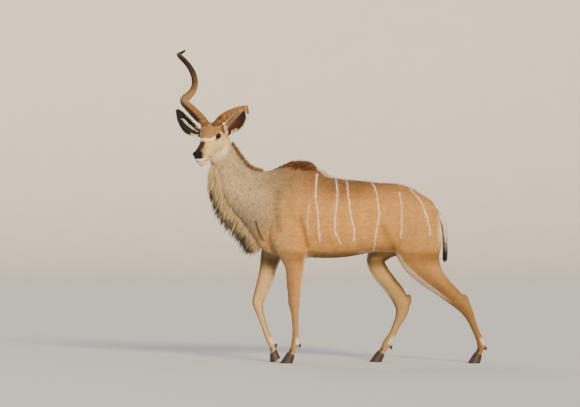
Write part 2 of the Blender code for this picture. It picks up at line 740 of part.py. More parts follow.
def lock(root, along, out, length, width, thick, bend, sides_bend=0.0):
    """A flat tapered lock: it leaves its root and bends towards bend."""
    along, out = unit(along), unit(out)
    rings = []
    point = np.array(root, float)
    heading = along.copy()
    segments = 3
    for i in range(segments + 1):
        share = i / segments
        taper = (1.0, 1.15, 0.95, 0.14)[i]
        across = unit(np.cross(heading, out))
        lift = unit(np.cross(across, heading))
        w, t = width * taper, thick * (1 - 0.72 * share)
        rings.append([point + across * w, point + lift * t, point - across * w, point - lift * t])
        heading = unit(heading + np.array(bend) * (1.0 / segments)
                       + across * sides_bend * math.sin(share * 3.0))
        point = point + heading * length / segments
    return loft("lock", rings)


def hair_core(name, roots, tips, half):
    """The dense hair near the roots: a tapered sheet that ends half way to the tips."""
    rings = []
    for root, tip in zip(np.array(roots), np.array(tips)):
        reach = (tip - root) * CORE_SHARE
        ring = [root + reach * share + np.array([0, half * width, 0])
                for share, width in ((0.0, 1.0), (0.6, 0.8), (1.0, 0.3))]
        ring += [root + reach * share - np.array([0, half * width, 0])
                 for share, width in ((1.0, 0.3), (0.6, 0.8), (0.0, 1.0))]
        rings.append(ring)
    return loft(name, rings)


def locks_over(roots, tips, half, width, bend, seed, both_sides=True):
    """Overlapping locks rooted in the core, to the left and right of it, out to the tips."""
    draw = random.Random(seed)
    made = []
    for i, (root, tip) in enumerate(zip(np.array(roots), np.array(tips))):
        reach = tip - root
        for side in ((-1, 1) if both_sides else (1 - 2 * (i % 2),)):
            start = root + reach * 0.28 + np.array([0, side * half * 0.45, 0])
            heading = unit(reach) + np.array([draw.uniform(-0.1, 0.1), side * 0.10,
                                              draw.uniform(-0.1, 0.1)])
            length = np.linalg.norm(reach) * 0.72 * draw.uniform(0.88, 1.14)
            made.append(lock(start, heading, (0.1, side, 0.1), length, width * draw.uniform(0.9, 1.1),
                             0.0065, bend, draw.uniform(-0.12, 0.12)))
    return made


THROAT = [
    # x, y, z of the hanging fringe's roots, then the length of hair
    (-0.822, -0.095, 1.350, 0.050),
    (-0.800, -0.060, 1.262, 0.085),
    (-0.765, -0.025, 1.170, 0.100),
    (-0.712, -0.008, 1.085, 0.115),
    (-0.640, 0.000, 1.010, 0.125),
    (-0.575, 0.000, 0.945, 0.130),
    (-0.535, 0.000, 0.885, 0.125),
    (-0.510, 0.000, 0.840, 0.095),
]


def throat_fringe():
    """Long hair that hangs from the throat to the brisket."""
    rows = smooth_rows(THROAT, 2)
    roots = rows[:, :3] + np.array([0.035, 0.0, 0.030])
    tips = rows[:, :3] + rows[:, 3:] * unit((-0.62, 0.0, -0.78))
    return [hair_core("throat_core", roots, tips, 0.022),
            *locks_over(roots, tips, 0.022, 0.026, (0.35, 0.0, -0.55), 11)]


CREST = [
    # withers mane: x, z of the root line, hair length
    (-0.400, 1.350, 0.010), (-0.375, 1.352, 0.040), (-0.320, 1.366, 0.068), (-0.260, 1.368, 0.086),
    (-0.200, 1.362, 0.084), (-0.145, 1.345, 0.064), (-0.095, 1.325, 0.048),
    (-0.030, 1.298, 0.030), (0.050, 1.284, 0.012),
]


def crest():
    """The mane on the withers, brushed back, thinning along the spine."""
    rows = smooth_rows(CREST, 2)
    roots = [(x, 0.0, z - 0.030) for x, z, long in rows]
    tips = [(x + long * 0.7, 0.0, z + long * 0.62) for x, z, long in rows]
    return [hair_core("crest_core", roots, tips, 0.020),
            *locks_over(roots[1:-1], tips[1:-1], 0.020, 0.024, (0.60, 0.0, -0.35), 23, False)]


NAPE = [
    # short mane down the back of the neck: x, y, z, hair length
    (-0.690, -0.010, 1.530, 0.030), (-0.655, -0.012, 1.470, 0.034), (-0.620, -0.008, 1.418, 0.036),
    (-0.580, -0.002, 1.374, 0.036), (-0.530, 0.0, 1.346, 0.034), (-0.480, 0.0, 1.336, 0.030),
]


def nape_mane():
    """Short upright hair along the nape."""
    rows = smooth_rows(NAPE, 2)
    slope = np.gradient(rows[:, :3], axis=0)
    out = np.array([unit(np.cross(step, (0, -1, 0))) for step in slope])
    out *= np.sign(out[:, 2:])
    roots, tips = rows[:, :3] - out * 0.025, rows[:, :3] + out * rows[:, 3:] * 0.7 + slope * 0.35
    return [hair_core("nape_core", roots, tips, 0.015),
            *locks_over(roots, tips, 0.015, 0.021, (0.45, 0.0, -0.45), 31, False)]


TAIL = [
    # x, z, half size fore and aft, half size across
    (0.715, 1.070, 0.016, 0.024), (0.752, 1.052, 0.018, 0.027), (0.782, 1.010, 0.016, 0.028),
    (0.800, 0.950, 0.014, 0.026), (0.806, 0.890, 0.012, 0.022), (0.806, 0.840, 0.010, 0.018),
    (0.804, 0.800, 0.007, 0.010),
]


def tail_root(grow=0.0, end=3):
    rows = [(x, 0.0, z, a + grow, b + grow) for x, z, a, b in TAIL[:end]]
    return limb("tail_root", rows, 3, 12)


def tail():
    """The hanging tail with a hairy fringe and a tuft at its tip."""
    rows = [(x, 0.0, z, a, b) for x, z, a, b in TAIL]
    made = limb("tail", rows, 3, 12)
    draw = random.Random(47)
    locks = []
    for x, z, long in ((0.806, 0.885, 0.085), (0.806, 0.850, 0.100), (0.805, 0.820, 0.110)):
        for across in (-0.012, 0.012):
            heading = (0.10 + draw.uniform(-0.08, 0.08), across * 12, -1.0)
            locks.append(lock((x, across * 0.5, z + 0.010), heading, (1, across * 20, 0.1), long,
                              draw.uniform(0.011, 0.015), 0.0055, (-0.05, 0, -0.3)))
    locks.append(lock((0.805, 0, 0.830), (0.03, 0, -1), (1, 0, 0), 0.125, 0.013, 0.006, (0, 0, -0.3)))
    boolean(made, "UNION", locks)
    made.data.materials.clear()
    made.data.materials.append(material("tail"))
    return made


# Cuts in the head

def mouth_cutter(side):
    """A thin curved wedge along one side's mouth line."""
    rows = [
        # along, across, height in the head's frame
        (0.244, -0.010, -0.056), (0.234, 0.020, -0.059), (0.210, 0.046, -0.070),
        (0.184, 0.050, -0.082), (0.156, 0.053, -0.091), (0.124, 0.055, -0.096),
    ]
    verts = []
    for i, (x, y, z) in enumerate(rows):
        half = 0.0024 if i < 5 else 0.0008
        inner = max(0.0, abs(y) - 0.019) if y > 0 else -0.006
        verts += [in_head(x, side * y, z + half), in_head(x, side * y, z - half),
                  in_head(x - 0.012, side * inner, z)]
    faces = []
    for i in range(len(rows) - 1):
        for j in range(3):
            k = (j + 1) % 3
            faces.append((i * 3 + j, i * 3 + k, i * 3 + 3 + k, i * 3 + 3 + j))
    last = (len(rows) - 1) * 3
    faces += [(0, 1, 2), (last, last + 1, last + 2)]
    made = new_object("mouth_line", verts, faces)
    face_out(made)
    return made


def nostril_cutter(side):
    return head_blob("nostril", (0.220, side * 0.027, -0.004), (0.020, 0.0055, 0.0085),
                     (0.80, side * -0.45, -0.25), (0.2, side * 0.5, 1.0), 2)


def build():
    remove(bpy.data.objects)
    legs = [limb(name, rows) for name, rows in LEGS.items()]
    body = fuse("body", [trunk(), limb("upper_neck", UPPER_NECK, 3, 20), *legs, *muscles(),
                         *joints_of_bone(), *skull()], 0.0055, 18, 3500, "coat")
    boolean(body, "UNION", throat_fringe() + nape_mane() + crest())
    face = fuse("face", [limb("upper_neck", UPPER_NECK, 3, 20), trunk(TRUNK[-3:]), *skull()],
                0.0028, 6, 3980, "coat")

    # Head and neck part behind the jaw and the poll
    behind_jaw = in_head(-0.095, 0, -0.120)
    towards_neck = along_head(-0.50, 0, -0.866)
    head = part_by_plane(face, "head", behind_jaw, -towards_neck)
    keep_largest(head)
    rest = part_by_plane(body, "rest", behind_jaw, towards_neck)
    keep_largest(rest)
    remove([face, body])

    # Neck and torso part in front of the shoulders
    neck_base, forwards = (-0.450, 0.0, 1.05), (-1.0, 0.0, -0.06)
    flesh = part_by_plane(rest, "flesh", (0, 0, LEG_CUT_Z), (0, 0, 1))
    lower = part_by_plane(rest, "lower", (0, 0, LEG_CUT_Z), (0, 0, -1))
    remove([rest])
    neck = part_by_plane(flesh, "neck", neck_base, forwards)
    torso = part_by_plane(flesh, "torso", neck_base, -np.array(forwards))
    keep_largest(neck)
    keep_largest(torso)
    remove([flesh])
    knees = {name: rows[8][:3] for name, rows in LEGS.items()}
    for leg in islands(lower, knees):
        foot, axis = hoof(leg.name)
        top = np.array(FEET[leg.name][0])
        shank = part_by_plane(leg, "shank", top, axis, GAP)
        keep_largest(shank)
        name = leg.name
        remove([leg])
        shank.name = shank.data.name = name

    # Horns, ears, eyes and tail sit in pockets of their own shape
    seated = [*horns(), *ears()]
    eye("eye_left", 1)
    eye("eye_right", -1)
    pockets = [fattened(item, 3 * GAP) for item in seated]
    for side in (1, -1):
        pockets.append(eye("pocket", side, GAP))
        pockets.append(mouth_cutter(side))
        pockets.append(nostril_cutter(side))
    for pocket in pockets:
        boolean(head, "DIFFERENCE", [pocket])
    boolean(torso, "DIFFERENCE", [tail_root(GAP)])
    tail()

    for item in bpy.data.objects:
        item.data.transform(Matrix.Translation((-BODY_CENTRE[0], -BODY_CENTRE[1], 0.0)))
        item.data.shade_smooth()


build()
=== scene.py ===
"""A greater kudu bull, life size: its skin, coat, horns, ears, eyes and hooves.

The skin is built over the same rows of sizes as the solids, a coat's depth
inside them, and the coat is solid tufts that grow from it. Shapes are worked
out in the animal's own frame and moved into the frame of the solids at the end.
"""

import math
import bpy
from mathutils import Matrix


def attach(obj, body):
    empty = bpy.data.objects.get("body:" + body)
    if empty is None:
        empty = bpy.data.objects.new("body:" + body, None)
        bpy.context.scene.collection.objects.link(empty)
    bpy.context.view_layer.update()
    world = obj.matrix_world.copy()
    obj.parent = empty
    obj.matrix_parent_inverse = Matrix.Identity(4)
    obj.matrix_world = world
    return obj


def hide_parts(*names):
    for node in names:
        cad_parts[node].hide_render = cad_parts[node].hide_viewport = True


bl_info = {
    "name": "Greater kudu bull",
    "version": (1, 0, 0),
    "blender": (4, 5, 0),
    "location": "3D View > Sidebar > Kudu",
    "description": "Dresses the solid kudu with skin, coat, horns, ears, eyes and hooves",
    "category": "Object",
}

import bmesh
import bpy
import numpy as np
from mathutils import Matrix, Vector
from mathutils.bvhtree import BVHTree

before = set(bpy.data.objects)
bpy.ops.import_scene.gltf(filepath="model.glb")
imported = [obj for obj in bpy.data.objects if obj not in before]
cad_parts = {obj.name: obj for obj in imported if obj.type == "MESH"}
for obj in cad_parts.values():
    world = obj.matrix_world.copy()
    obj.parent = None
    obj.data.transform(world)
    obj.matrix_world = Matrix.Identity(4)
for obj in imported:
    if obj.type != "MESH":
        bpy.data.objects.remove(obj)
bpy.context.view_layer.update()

# Places that the solids share
BODY_CENTRE = np.array((0.002, 0.111, 0.0))
HEAD_CENTRE = np.array((-0.828, -0.170, 1.577))
HEAD_YAW = math.radians(31.0)
HEAD_PITCH = math.radians(35.0)
EYE_SPREAD = 0.067
EYE_RADIUS = 0.0185
HORN_BASE = (-0.055, 0.044, 0.062)
HORN_RISE = 0.590
HORN_LEAN = math.radians(38.0)
LEFT_DROOP = math.radians(20.0)
HORN_SPREAD = 0.280
HORN_FLARE = 0.200
HORN_TURN = math.radians(583.0)
HORN_PHASE = math.radians(-55.0)
HORN_COIL = 0.060
HORN_THICK = 0.030
HORN_BEND = 0.06
HORN_TIP = 0.985                # share in which the tip begins to round off
HORN_ROOT = 0.030
BROKEN_AT = 0.187
EAR_LENGTH = 0.300
HOOF_LONG, HOOF_WIDE = 0.044, 0.029     # half sizes at the sole
CORONET_LONG, CORONET_WIDE = 0.029, 0.026
PHOTO_WIDE = 580                # pixels across the photograph
PHOTO_MIDDLE = (-0.2775, 0.0, 1.1095)   # the place that the photograph's centre shows
BOTH_SIDES = (-1, 1)
FULL_TURN = 2 * math.pi
LOCK_STATIONS = 6               # places along a long lock, root and tip included
LOCK_RIDGE = 0.30               # how far a lock's ridge stands up, in half widths
FUR_RIDGE = 0.35
PIECE_TUFTS = 18500             # tufts in one piece of the coat, under 200,000 triangles
STRIPE_EDGE = (60, 21)          # grain and seed of the wander at a stripe's edges
EAR_ROUND = 25                  # places across one face of an ear
HORN_ROUND = 32                 # places round a horn

FLESH = ("head", "neck", "torso", "tail", "leg_fore_left", "leg_fore_right",
         "leg_hind_left", "leg_hind_right")


# Small tools

def linear(hex_colour):
    """An sRGB hex colour as linear red, green and blue."""
    parts = [int(hex_colour[i:i + 2], 16) / 255 for i in (0, 2, 4)]
    return tuple(p / 12.92 if p <= 0.04045 else ((p + 0.055) / 1.055) ** 2.4 for p in parts)


def unit(vector):
    vector = np.array(vector, float)
    return vector / np.maximum(np.linalg.norm(vector, axis=-1, keepdims=True), 1e-9)


def smoothstep(low, high, value):
    share = np.clip((value - low) / (high - low), 0.0, 1.0)
    return share * share * (3 - 2 * share)


def mix(first, second, share):
    share = np.asarray(share)[..., None]
    return np.asarray(first) * (1 - share) + np.asarray(second) * share


def distance(points, place):
    return np.linalg.norm(points - np.array(place), axis=1)


def choose(target):
    """Makes one object the only selected and active one."""
    bpy.ops.object.select_all(action="DESELECT")
    target.select_set(True)
    bpy.context.view_layer.objects.active = target


def smooth(target):
    choose(target)
    bpy.ops.object.shade_smooth()


def join(pieces, name):
    """Joins pieces into one object of the given name."""
    choose(pieces[0])
    for piece in pieces:
        piece.select_set(True)
    bpy.ops.object.join()
    made = bpy.context.object
    made.name = made.data.name = name
    return made


def apply_modifier(target, kind, **settings):
    """Adds a modifier with its settings to the active object and applies it."""
    modifier = target.modifiers.new(kind.lower(), kind)
    for key, value in settings.items():
        setattr(modifier, key, value)
    bpy.ops.object.modifier_apply(modifier=modifier.name)


def object_of(mesh, finish):
    if finish:
        mesh.materials.append(finish)
    made = bpy.data.objects.new(mesh.name, mesh)
    bpy.context.scene.collection.objects.link(made)
    return made


def new_object(name, verts, faces, finish=None):
    mesh = bpy.data.meshes.new(name)
    mesh.from_pydata([tuple(v) for v in verts], [], faces)
    mesh.update()
    return object_of(mesh, finish)


def fast_mesh(name, verts, triangles, finish):
    """A mesh of many triangles from arrays."""
    mesh = bpy.data.meshes.new(name)
    mesh.vertices.add(len(verts))
    mesh.vertices.foreach_set("co", np.asarray(verts, np.float32).ravel())
    mesh.loops.add(len(triangles) * 3)
    mesh.loops.foreach_set("vertex_index", np.asarray(triangles, np.int32).ravel())
    mesh.polygons.add(len(triangles))
    mesh.polygons.foreach_set("loop_start", np.arange(0, len(triangles) * 3, 3, dtype=np.int32))
    mesh.update(calc_edges=True)
    mesh.validate()
    return object_of(mesh, finish)


def points_of(target, kind="co"):
    """Each vertex's place, or its normal when kind says so."""
    flat = np.empty(len(target.data.vertices) * 3, np.float32)
    target.data.vertices.foreach_get(kind, flat)
    return flat.reshape(-1, 3).astype(float)


def set_points(target, points):
    target.data.vertices.foreach_set("co", np.asarray(points, np.float32).ravel())
    target.data.update()


def tree_over(target, shift=(0.0, 0.0, 0.0)):
    """A search tree over a mesh's faces, moved by shift."""
    return BVHTree.FromPolygons([v.co + Vector(shift) for v in target.data.vertices],
                                [tuple(p.vertices) for p in target.data.polygons])


def paint(target, colours):
    """Stores each vertex's colour as the markings that the materials read."""
    layer = target.data.color_attributes.new("markings", "FLOAT_COLOR", "POINT")
    data = np.ones((len(target.data.vertices), 4), np.float32)
    data[:, :3] = np.clip(colours, 0, 1)
    layer.data.foreach_set("color", data.ravel())


def smooth_rows(rows, steps):
    """Rows of numbers read from a smooth curve through the given rows."""
    rows = np.array(rows, float)
    padded = np.vstack([2 * rows[0] - rows[1], rows, 2 * rows[-1] - rows[-2]])
    out = []
    for i in range(len(rows) - 1):
        a, b, c, d = padded[i:i + 4]
        for t in np.linspace(0, 1, steps, endpoint=False):
            out.append(0.5 * (2 * b + (c - a) * t + (2 * a - 5 * b + 4 * c - d) * t ** 2
                              + (3 * b - a - 3 * c + d) * t ** 3))
    out.append(rows[-1])
    return np.array(out)


def loft(name, rings, finish=None, folded=False):
    """A closed skin over rings of equal count, closed at its ends."""
    count = len(rings[0])
    verts = [tuple(p) for ring in rings for p in ring]
    faces = []
    for i in range(len(rings) - 1):
        for j in range(count):
            k = (j + 1) % count
            faces.append((i * count + j, i * count + k, (i + 1) * count + k, (i + 1) * count + j))
    for end, flip in ((0, True), (len(rings) - 1, False)):
        if folded:
            first = end * count
            for j in range(count // 2 - 1):
                quad = (first + j, first + j + 1, first + count - 2 - j, first + count - 1 - j)
                faces.append(quad[::-1] if flip else quad)
            continue
        verts.append(tuple(np.mean(rings[end], axis=0)))
        for j in range(count):
            k = (j + 1) % count
            pair = (end * count + k, end * count + j) if flip else (end * count + j, end * count + k)
            faces.append((*pair, len(verts) - 1))
    made = new_object(name, verts, faces, finish)
    face_out(made)
    return made


def face_out(target):
    """Turns a closed mesh's faces outwards."""
    work = bmesh.new()
    work.from_mesh(target.data)
    bmesh.ops.recalc_face_normals(work, faces=work.faces)
    if work.calc_volume(signed=True) < 0:
        bmesh.ops.reverse_faces(work, faces=work.faces)
    work.to_mesh(target.data)
    work.free()


def into_frame(target):
    """Moves a finished mesh from the animal's frame into the frame of the solids."""
    target.data.transform(Matrix.Translation(Vector(-BODY_CENTRE)))
    target.data.update()


def finish_piece(target, nodes=()):
    into_frame(target)
    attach(target, "root")
    if nodes:
        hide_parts(*nodes)


# The head's own frame: x towards the nose, y to the animal's left, z up

FORE = np.array([-math.sin(HEAD_YAW) * math.cos(HEAD_PITCH),
                 -math.cos(HEAD_YAW) * math.cos(HEAD_PITCH), -math.sin(HEAD_PITCH)])
LEFT = np.array([math.cos(HEAD_YAW), -math.sin(HEAD_YAW), 0.0])
RISE = np.cross(FORE, LEFT)
HEAD_AXES = np.stack([FORE, LEFT, RISE])


def in_head(x, y, z):
    return HEAD_CENTRE + FORE * x + LEFT * y + RISE * z


def along_head(x, y, z):
    return FORE * x + LEFT * y + RISE * z


def head_places(points):
    """Points of the animal's frame in the head's own frame."""
    away = points - HEAD_CENTRE
    return np.stack([away @ FORE, away @ LEFT, away @ RISE], axis=1)


def mirrored_places(points):
    """The same with the right half of the head laid on the left."""
    away = head_places(points)
    return np.stack([away[:, 0], abs(away[:, 1]), away[:, 2]], axis=1)


# Rows of sizes for the flesh, the same as the solids have

TRUNK = [
    # top x, top z, bottom x, bottom z, middle y, half width, egg
    (0.715, 1.095, 0.745, 0.900, 0.0, 0.060, 0.05),
    (0.655, 1.160, 0.665, 0.830, 0.0, 0.125, 0.10),
    (0.560, 1.222, 0.540, 0.775, 0.0, 0.170, 0.14),
    (0.460, 1.250, 0.430, 0.770, 0.0, 0.185, 0.18),
    (0.340, 1.256, 0.330, 0.772, 0.0, 0.198, 0.16),
    (0.220, 1.270, 0.215, 0.752, 0.0, 0.212, 0.12),
    (0.100, 1.280, 0.100, 0.733, 0.0, 0.220, 0.12),
    (-0.010, 1.296, -0.005, 0.728, 0.0, 0.214, 0.16),
    (-0.110, 1.336, -0.110, 0.730, 0.0, 0.198, 0.24),
    (-0.210, 1.370, -0.225, 0.732, 0.0, 0.182, 0.30),
    (-0.310, 1.372, -0.340, 0.742, 0.0, 0.172, 0.24),
    (-0.400, 1.345, -0.440, 0.778, 0.0, 0.160, 0.12),
    (-0.480, 1.337, -0.525, 0.862, 0.0, 0.142, 0.04),
    (-0.545, 1.352, -0.618, 0.985, 0.0, 0.122, -0.04),
    (-0.598, 1.392, -0.710, 1.088, -0.005, 0.106, -0.06),
    (-0.640, 1.452, -0.765, 1.200, -0.015, 0.094, -0.06),
    (-0.678, 1.512, -0.802, 1.300, -0.032, 0.086, -0.04),
]
UPPER_NECK = [
    # x, y, z, half depth, half width
    (-0.645, -0.008, 1.235, 0.128, 0.102), (-0.684, -0.016, 1.320, 0.118, 0.095),
    (-0.727, -0.032, 1.400, 0.104, 0.087), (-0.758, -0.055, 1.485, 0.088, 0.077),
    (-0.770, -0.075, 1.560, 0.072, 0.066), (-0.771, -0.085, 1.615, 0.055, 0.052),
]
LEGS = {
    # x, y, z, half size fore and aft, half size across, from the body down
    "leg_fore_left": [
        (-0.185, -0.085, 1.200, 0.070, 0.035), (-0.240, -0.122, 1.080, 0.105, 0.050),
        (-0.300, -0.142, 0.960, 0.120, 0.062), (-0.285, -0.138, 0.840, 0.112, 0.062),
        (-0.255, -0.122, 0.750, 0.092, 0.056), (-0.242, -0.112, 0.660, 0.068, 0.046),
        (-0.246, -0.106, 0.560, 0.055, 0.038), (-0.245, -0.102, 0.475, 0.047, 0.034),
        (-0.246, -0.101, 0.420, 0.043, 0.033), (-0.243, -0.100, 0.350, 0.028, 0.023),
        (-0.240, -0.100, 0.280, 0.024, 0.019), (-0.238, -0.100, 0.205, 0.023, 0.019),
        (-0.238, -0.100, 0.150, 0.029, 0.025), (-0.252, -0.100, 0.105, 0.023, 0.021),
        (-0.270, -0.100, 0.060, 0.026, 0.025), (-0.282, -0.100, 0.030, 0.022, 0.021)],
    "leg_fore_right": [
        (-0.190, 0.085, 1.190, 0.070, 0.035), (-0.270, 0.122, 1.060, 0.105, 0.050),
        (-0.345, 0.140, 0.930, 0.112, 0.062), (-0.375, 0.132, 0.830, 0.096, 0.060),
        (-0.405, 0.120, 0.750, 0.078, 0.054), (-0.428, 0.110, 0.660, 0.062, 0.046),
        (-0.450, 0.103, 0.570, 0.056, 0.039), (-0.478, 0.098, 0.485, 0.049, 0.035),
        (-0.500, 0.096, 0.418, 0.041, 0.033), (-0.485, 0.095, 0.345, 0.028, 0.023),
        (-0.462, 0.094, 0.272, 0.023, 0.019), (-0.436, 0.093, 0.195, 0.023, 0.019),
        (-0.408, 0.092, 0.138, 0.029, 0.025), (-0.394, 0.092, 0.098, 0.022, 0.021),
        (-0.394, 0.092, 0.066, 0.024, 0.024), (-0.400, 0.092, 0.040, 0.020, 0.020)],
    "leg_hind_left": [
        (0.590, -0.078, 1.060, 0.150, 0.070), (0.605, -0.108, 0.930, 0.172, 0.085),
        (0.612, -0.122, 0.810, 0.168, 0.080), (0.640, -0.122, 0.705, 0.135, 0.068),
        (0.705, -0.116, 0.605, 0.092, 0.052), (0.790, -0.110, 0.522, 0.068, 0.040),
        (0.872, -0.106, 0.452, 0.058, 0.033), (0.932, -0.104, 0.395, 0.049, 0.033),
        (0.972, -0.103, 0.325, 0.033, 0.027), (1.000, -0.102, 0.260, 0.026, 0.021),
        (1.030, -0.101, 0.190, 0.025, 0.020), (1.052, -0.100, 0.135, 0.031, 0.026),
        (1.044, -0.100, 0.095, 0.024, 0.022), (1.028, -0.100, 0.058, 0.026, 0.025),
        (1.015, -0.100, 0.030, 0.022, 0.021)],
    "leg_hind_right": [
        (0.590, 0.078, 1.060, 0.150, 0.070), (0.570, 0.108, 0.950, 0.150, 0.085),
        (0.480, 0.125, 0.865, 0.118, 0.080), (0.378, 0.128, 0.790, 0.082, 0.070),
        (0.325, 0.122, 0.715, 0.066, 0.060), (0.352, 0.116, 0.638, 0.062, 0.050),
        (0.412, 0.110, 0.558, 0.058, 0.042), (0.478, 0.106, 0.470, 0.058, 0.034),
        (0.510, 0.104, 0.395, 0.053, 0.033), (0.498, 0.103, 0.322, 0.038, 0.027),
        (0.468, 0.102, 0.255, 0.028, 0.021), (0.434, 0.101, 0.185, 0.026, 0.020),
        (0.402, 0.100, 0.130, 0.031, 0.026), (0.380, 0.100, 0.092, 0.024, 0.022),
        (0.358, 0.100, 0.058, 0.026, 0.025), (0.344, 0.100, 0.030, 0.022, 0.021)],
}
# Coronet: its middle, the foot's slope from upright, and how far a heel is lifted, in degrees
FEET = {
    "leg_fore_left": ((-0.268, -0.100, 0.066), 24.0, 0.0),
    "leg_fore_right": ((-0.394, 0.092, 0.072), 0.0, 34.0),
    "leg_hind_left": ((1.031, -0.100, 0.066), 22.0, 0.0),
    "leg_hind_right": ((0.361, 0.100, 0.066), 28.0, 0.0),
}
DEWCLAWS = {
    "leg_fore_left": (-0.212, -0.100, 0.128), "leg_fore_right": (-0.378, 0.092, 0.122),
    "leg_hind_left": (1.078, -0.100, 0.108), "leg_hind_right": (0.428, 0.100, 0.108),
}
SKULL = [
    # along the head, top, bottom, half width, egg
    (-0.150, 0.000, -0.060, 0.034, 0.0), (-0.125, 0.036, -0.100, 0.056, 0.0),
    (-0.085, 0.060, -0.124, 0.065, 0.0), (-0.045, 0.070, -0.130, 0.068, -0.05),
    (-0.005, 0.062, -0.127, 0.066, -0.10), (0.035, 0.050, -0.122, 0.058, -0.04),
    (0.070, 0.039, -0.123, 0.051, 0.03), (0.105, 0.029, -0.125, 0.046, 0.08),
    (0.139, 0.022, -0.127, 0.041, 0.06), (0.172, 0.018, -0.125, 0.040, 0.0),
    (0.199, 0.013, -0.116, 0.039, -0.04), (0.219, 0.003, -0.094, 0.033, -0.04),
    (0.229, -0.014, -0.066, 0.018, 0.0),
]
TAIL = [
    # x, z, half size fore and aft, half size across
    (0.715, 1.070, 0.016, 0.024), (0.752, 1.052, 0.018, 0.027), (0.782, 1.010, 0.016, 0.028),
    (0.800, 0.950, 0.014, 0.026), (0.806, 0.890, 0.012, 0.022), (0.806, 0.840, 0.010, 0.018),
    (0.804, 0.800, 0.007, 0.010),
]
MOUTH = [
    # the line between the lips: along, across, height in the head's frame
    (0.233, 0.000, -0.056), (0.228, 0.017, -0.059), (0.213, 0.031, -0.067),
    (0.190, 0.039, -0.078), (0.162, 0.042, -0.087), (0.137, 0.045, -0.092), (0.118, 0.047, -0.095),
]
NOSTRIL = (0.216, 0.0245, -0.004)
NOSTRIL_SLIT = [(0.209, 0.0285, 0.004), (0.218, 0.0255, 0.001), (0.224, 0.0205, -0.006),
                (0.223, 0.0165, -0.013)]
TEAR_GROOVE = [(0.022, 0.069, -0.004), (0.036, 0.061, -0.010), (0.050, 0.054, -0.017)]
EARS = {
    # root in the head's frame, axis and facing in the world, sideways sweep, spread of the fold
    "ear_left": ((-0.110, 0.060, -0.046), (0.122, -0.218, 0.148), (-0.06, -0.58, -0.81), 0.0, 0.026),
    "ear_right": ((-0.110, -0.064, -0.058), (-0.260, 0.010, 0.178), (0.03, -0.99, -0.06), -0.052, 0.0),
}
EAR_INSIDE_AND_SHADE = {
    # inside at its edges, inside at its middle, share of the pale fold, side of the white rim; the far
    # ear's darker, bluer inside is painted shade
    "ear_left": ("1c1210", "6a3520", 0.9, 1), "ear_right": ("12141a", "2b1f1e", 0.0, -1),
}
EAR_SECTIONS = [
    # share of the length, half width, half angle of the wrap in degrees, forward curve
    (0.00, 0.018, 150, 0.000), (0.15, 0.022, 135, 0.001), (0.30, 0.034, 106, 0.003),
    (0.44, 0.050, 84, 0.006), (0.58, 0.055, 72, 0.009), (0.72, 0.051, 62, 0.011),
    (0.85, 0.041, 52, 0.011), (0.94, 0.024, 46, 0.009), (1.00, 0.008, 40, 0.007),
]
THROAT = [
    # x, y, z of the hanging fringe's roots, then the length of hair
    (-0.822, -0.095, 1.350, 0.050), (-0.800, -0.060, 1.262, 0.085),
    (-0.765, -0.025, 1.170, 0.100), (-0.712, -0.008, 1.085, 0.115),
    (-0.640, 0.000, 1.010, 0.125), (-0.575, 0.000, 0.945, 0.130),
    (-0.535, 0.000, 0.885, 0.125), (-0.510, 0.000, 0.840, 0.095),
]
CREST = [
    # withers mane: x, y, z of the root line, hair length
    (-0.400, 0.0, 1.350, 0.010), (-0.375, 0.0, 1.352, 0.040), (-0.320, 0.0, 1.366, 0.068),
    (-0.260, 0.0, 1.368, 0.086), (-0.200, 0.0, 1.362, 0.082), (-0.150, 0.0, 1.347, 0.058),
    (-0.105, 0.0, 1.333, 0.030),
]
NAPE = [
    # short mane down the back of the neck: x, y, z, hair length
    (-0.690, -0.010, 1.530, 0.030), (-0.655, -0.012, 1.470, 0.034),
    (-0.620, -0.008, 1.418, 0.036), (-0.580, -0.002, 1.374, 0.036),
    (-0.530, 0.0, 1.346, 0.034), (-0.480, 0.0, 1.336, 0.030),
]
SPINE = [
    # white hair along the back: x, y, z, hair length
    (-0.13, 0.0, 1.338, 0.034), (-0.03, 0.0, 1.292, 0.038), (0.07, 0.0, 1.280, 0.030),
    (0.20, 0.0, 1.270, 0.026), (0.40, 0.0, 1.252, 0.024), (0.56, 0.0, 1.222, 0.020),
    (0.68, 0.0, 1.130, 0.016),
]
STRIPES = [
    # white lines down the flank, x and z from the back to the belly, and their strength
    ((-0.090, 1.323), (-0.099, 1.162), (-0.083, 1.043), (-0.078, 0.938), (-0.070, 0.849), 1.0),
    ((0.042, 1.274), (0.052, 1.162), (0.034, 1.001), (0.038, 0.905), (0.074, 0.833), 0.95),
    ((0.116, 1.267), (0.134, 1.100), (0.150, 1.001), (0.167, 0.931), (0.163, 0.849), 0.9),
    ((0.287, 1.260), (0.318, 1.204), (0.340, 1.043), (0.318, 0.905), (0.305, 0.784), 1.0),
    ((0.480, 1.186), (0.496, 1.100), (0.496, 1.040), (0.495, 0.950), (0.492, 0.865), 0.5),
    ((0.552, 1.218), (0.625, 1.131), (0.665, 1.034), (0.690, 0.931), (0.692, 0.890), 0.85),
    ((-0.146, 1.099), (-0.150, 1.050), (-0.155, 0.987), (-0.152, 0.940), (-0.148, 0.900), 0.3),
]
SHADOWS = [
    # painted shade in the folds and hollows of the body, seen from the side: x and z, half width,
    # strength
    (((-0.515, 0.990), (-0.500, 0.930), (-0.470, 0.865)), 0.008, 0.80),
    (((-0.362, 1.200), (-0.372, 1.060), (-0.352, 0.930)), 0.026, 0.32),
    (((-0.205, 1.010), (-0.172, 0.900), (-0.155, 0.820)), 0.016, 0.42),
    (((-0.290, 1.150), (-0.262, 1.050), (-0.225, 0.960)), 0.018, 0.14),
    (((0.370, 0.950), (0.415, 0.860), (0.470, 0.780)), 0.024, 0.34),
    (((-0.640, 1.330), (-0.570, 1.270), (-0.480, 1.240), (-0.400, 1.270)), 0.040, 0.22),
]
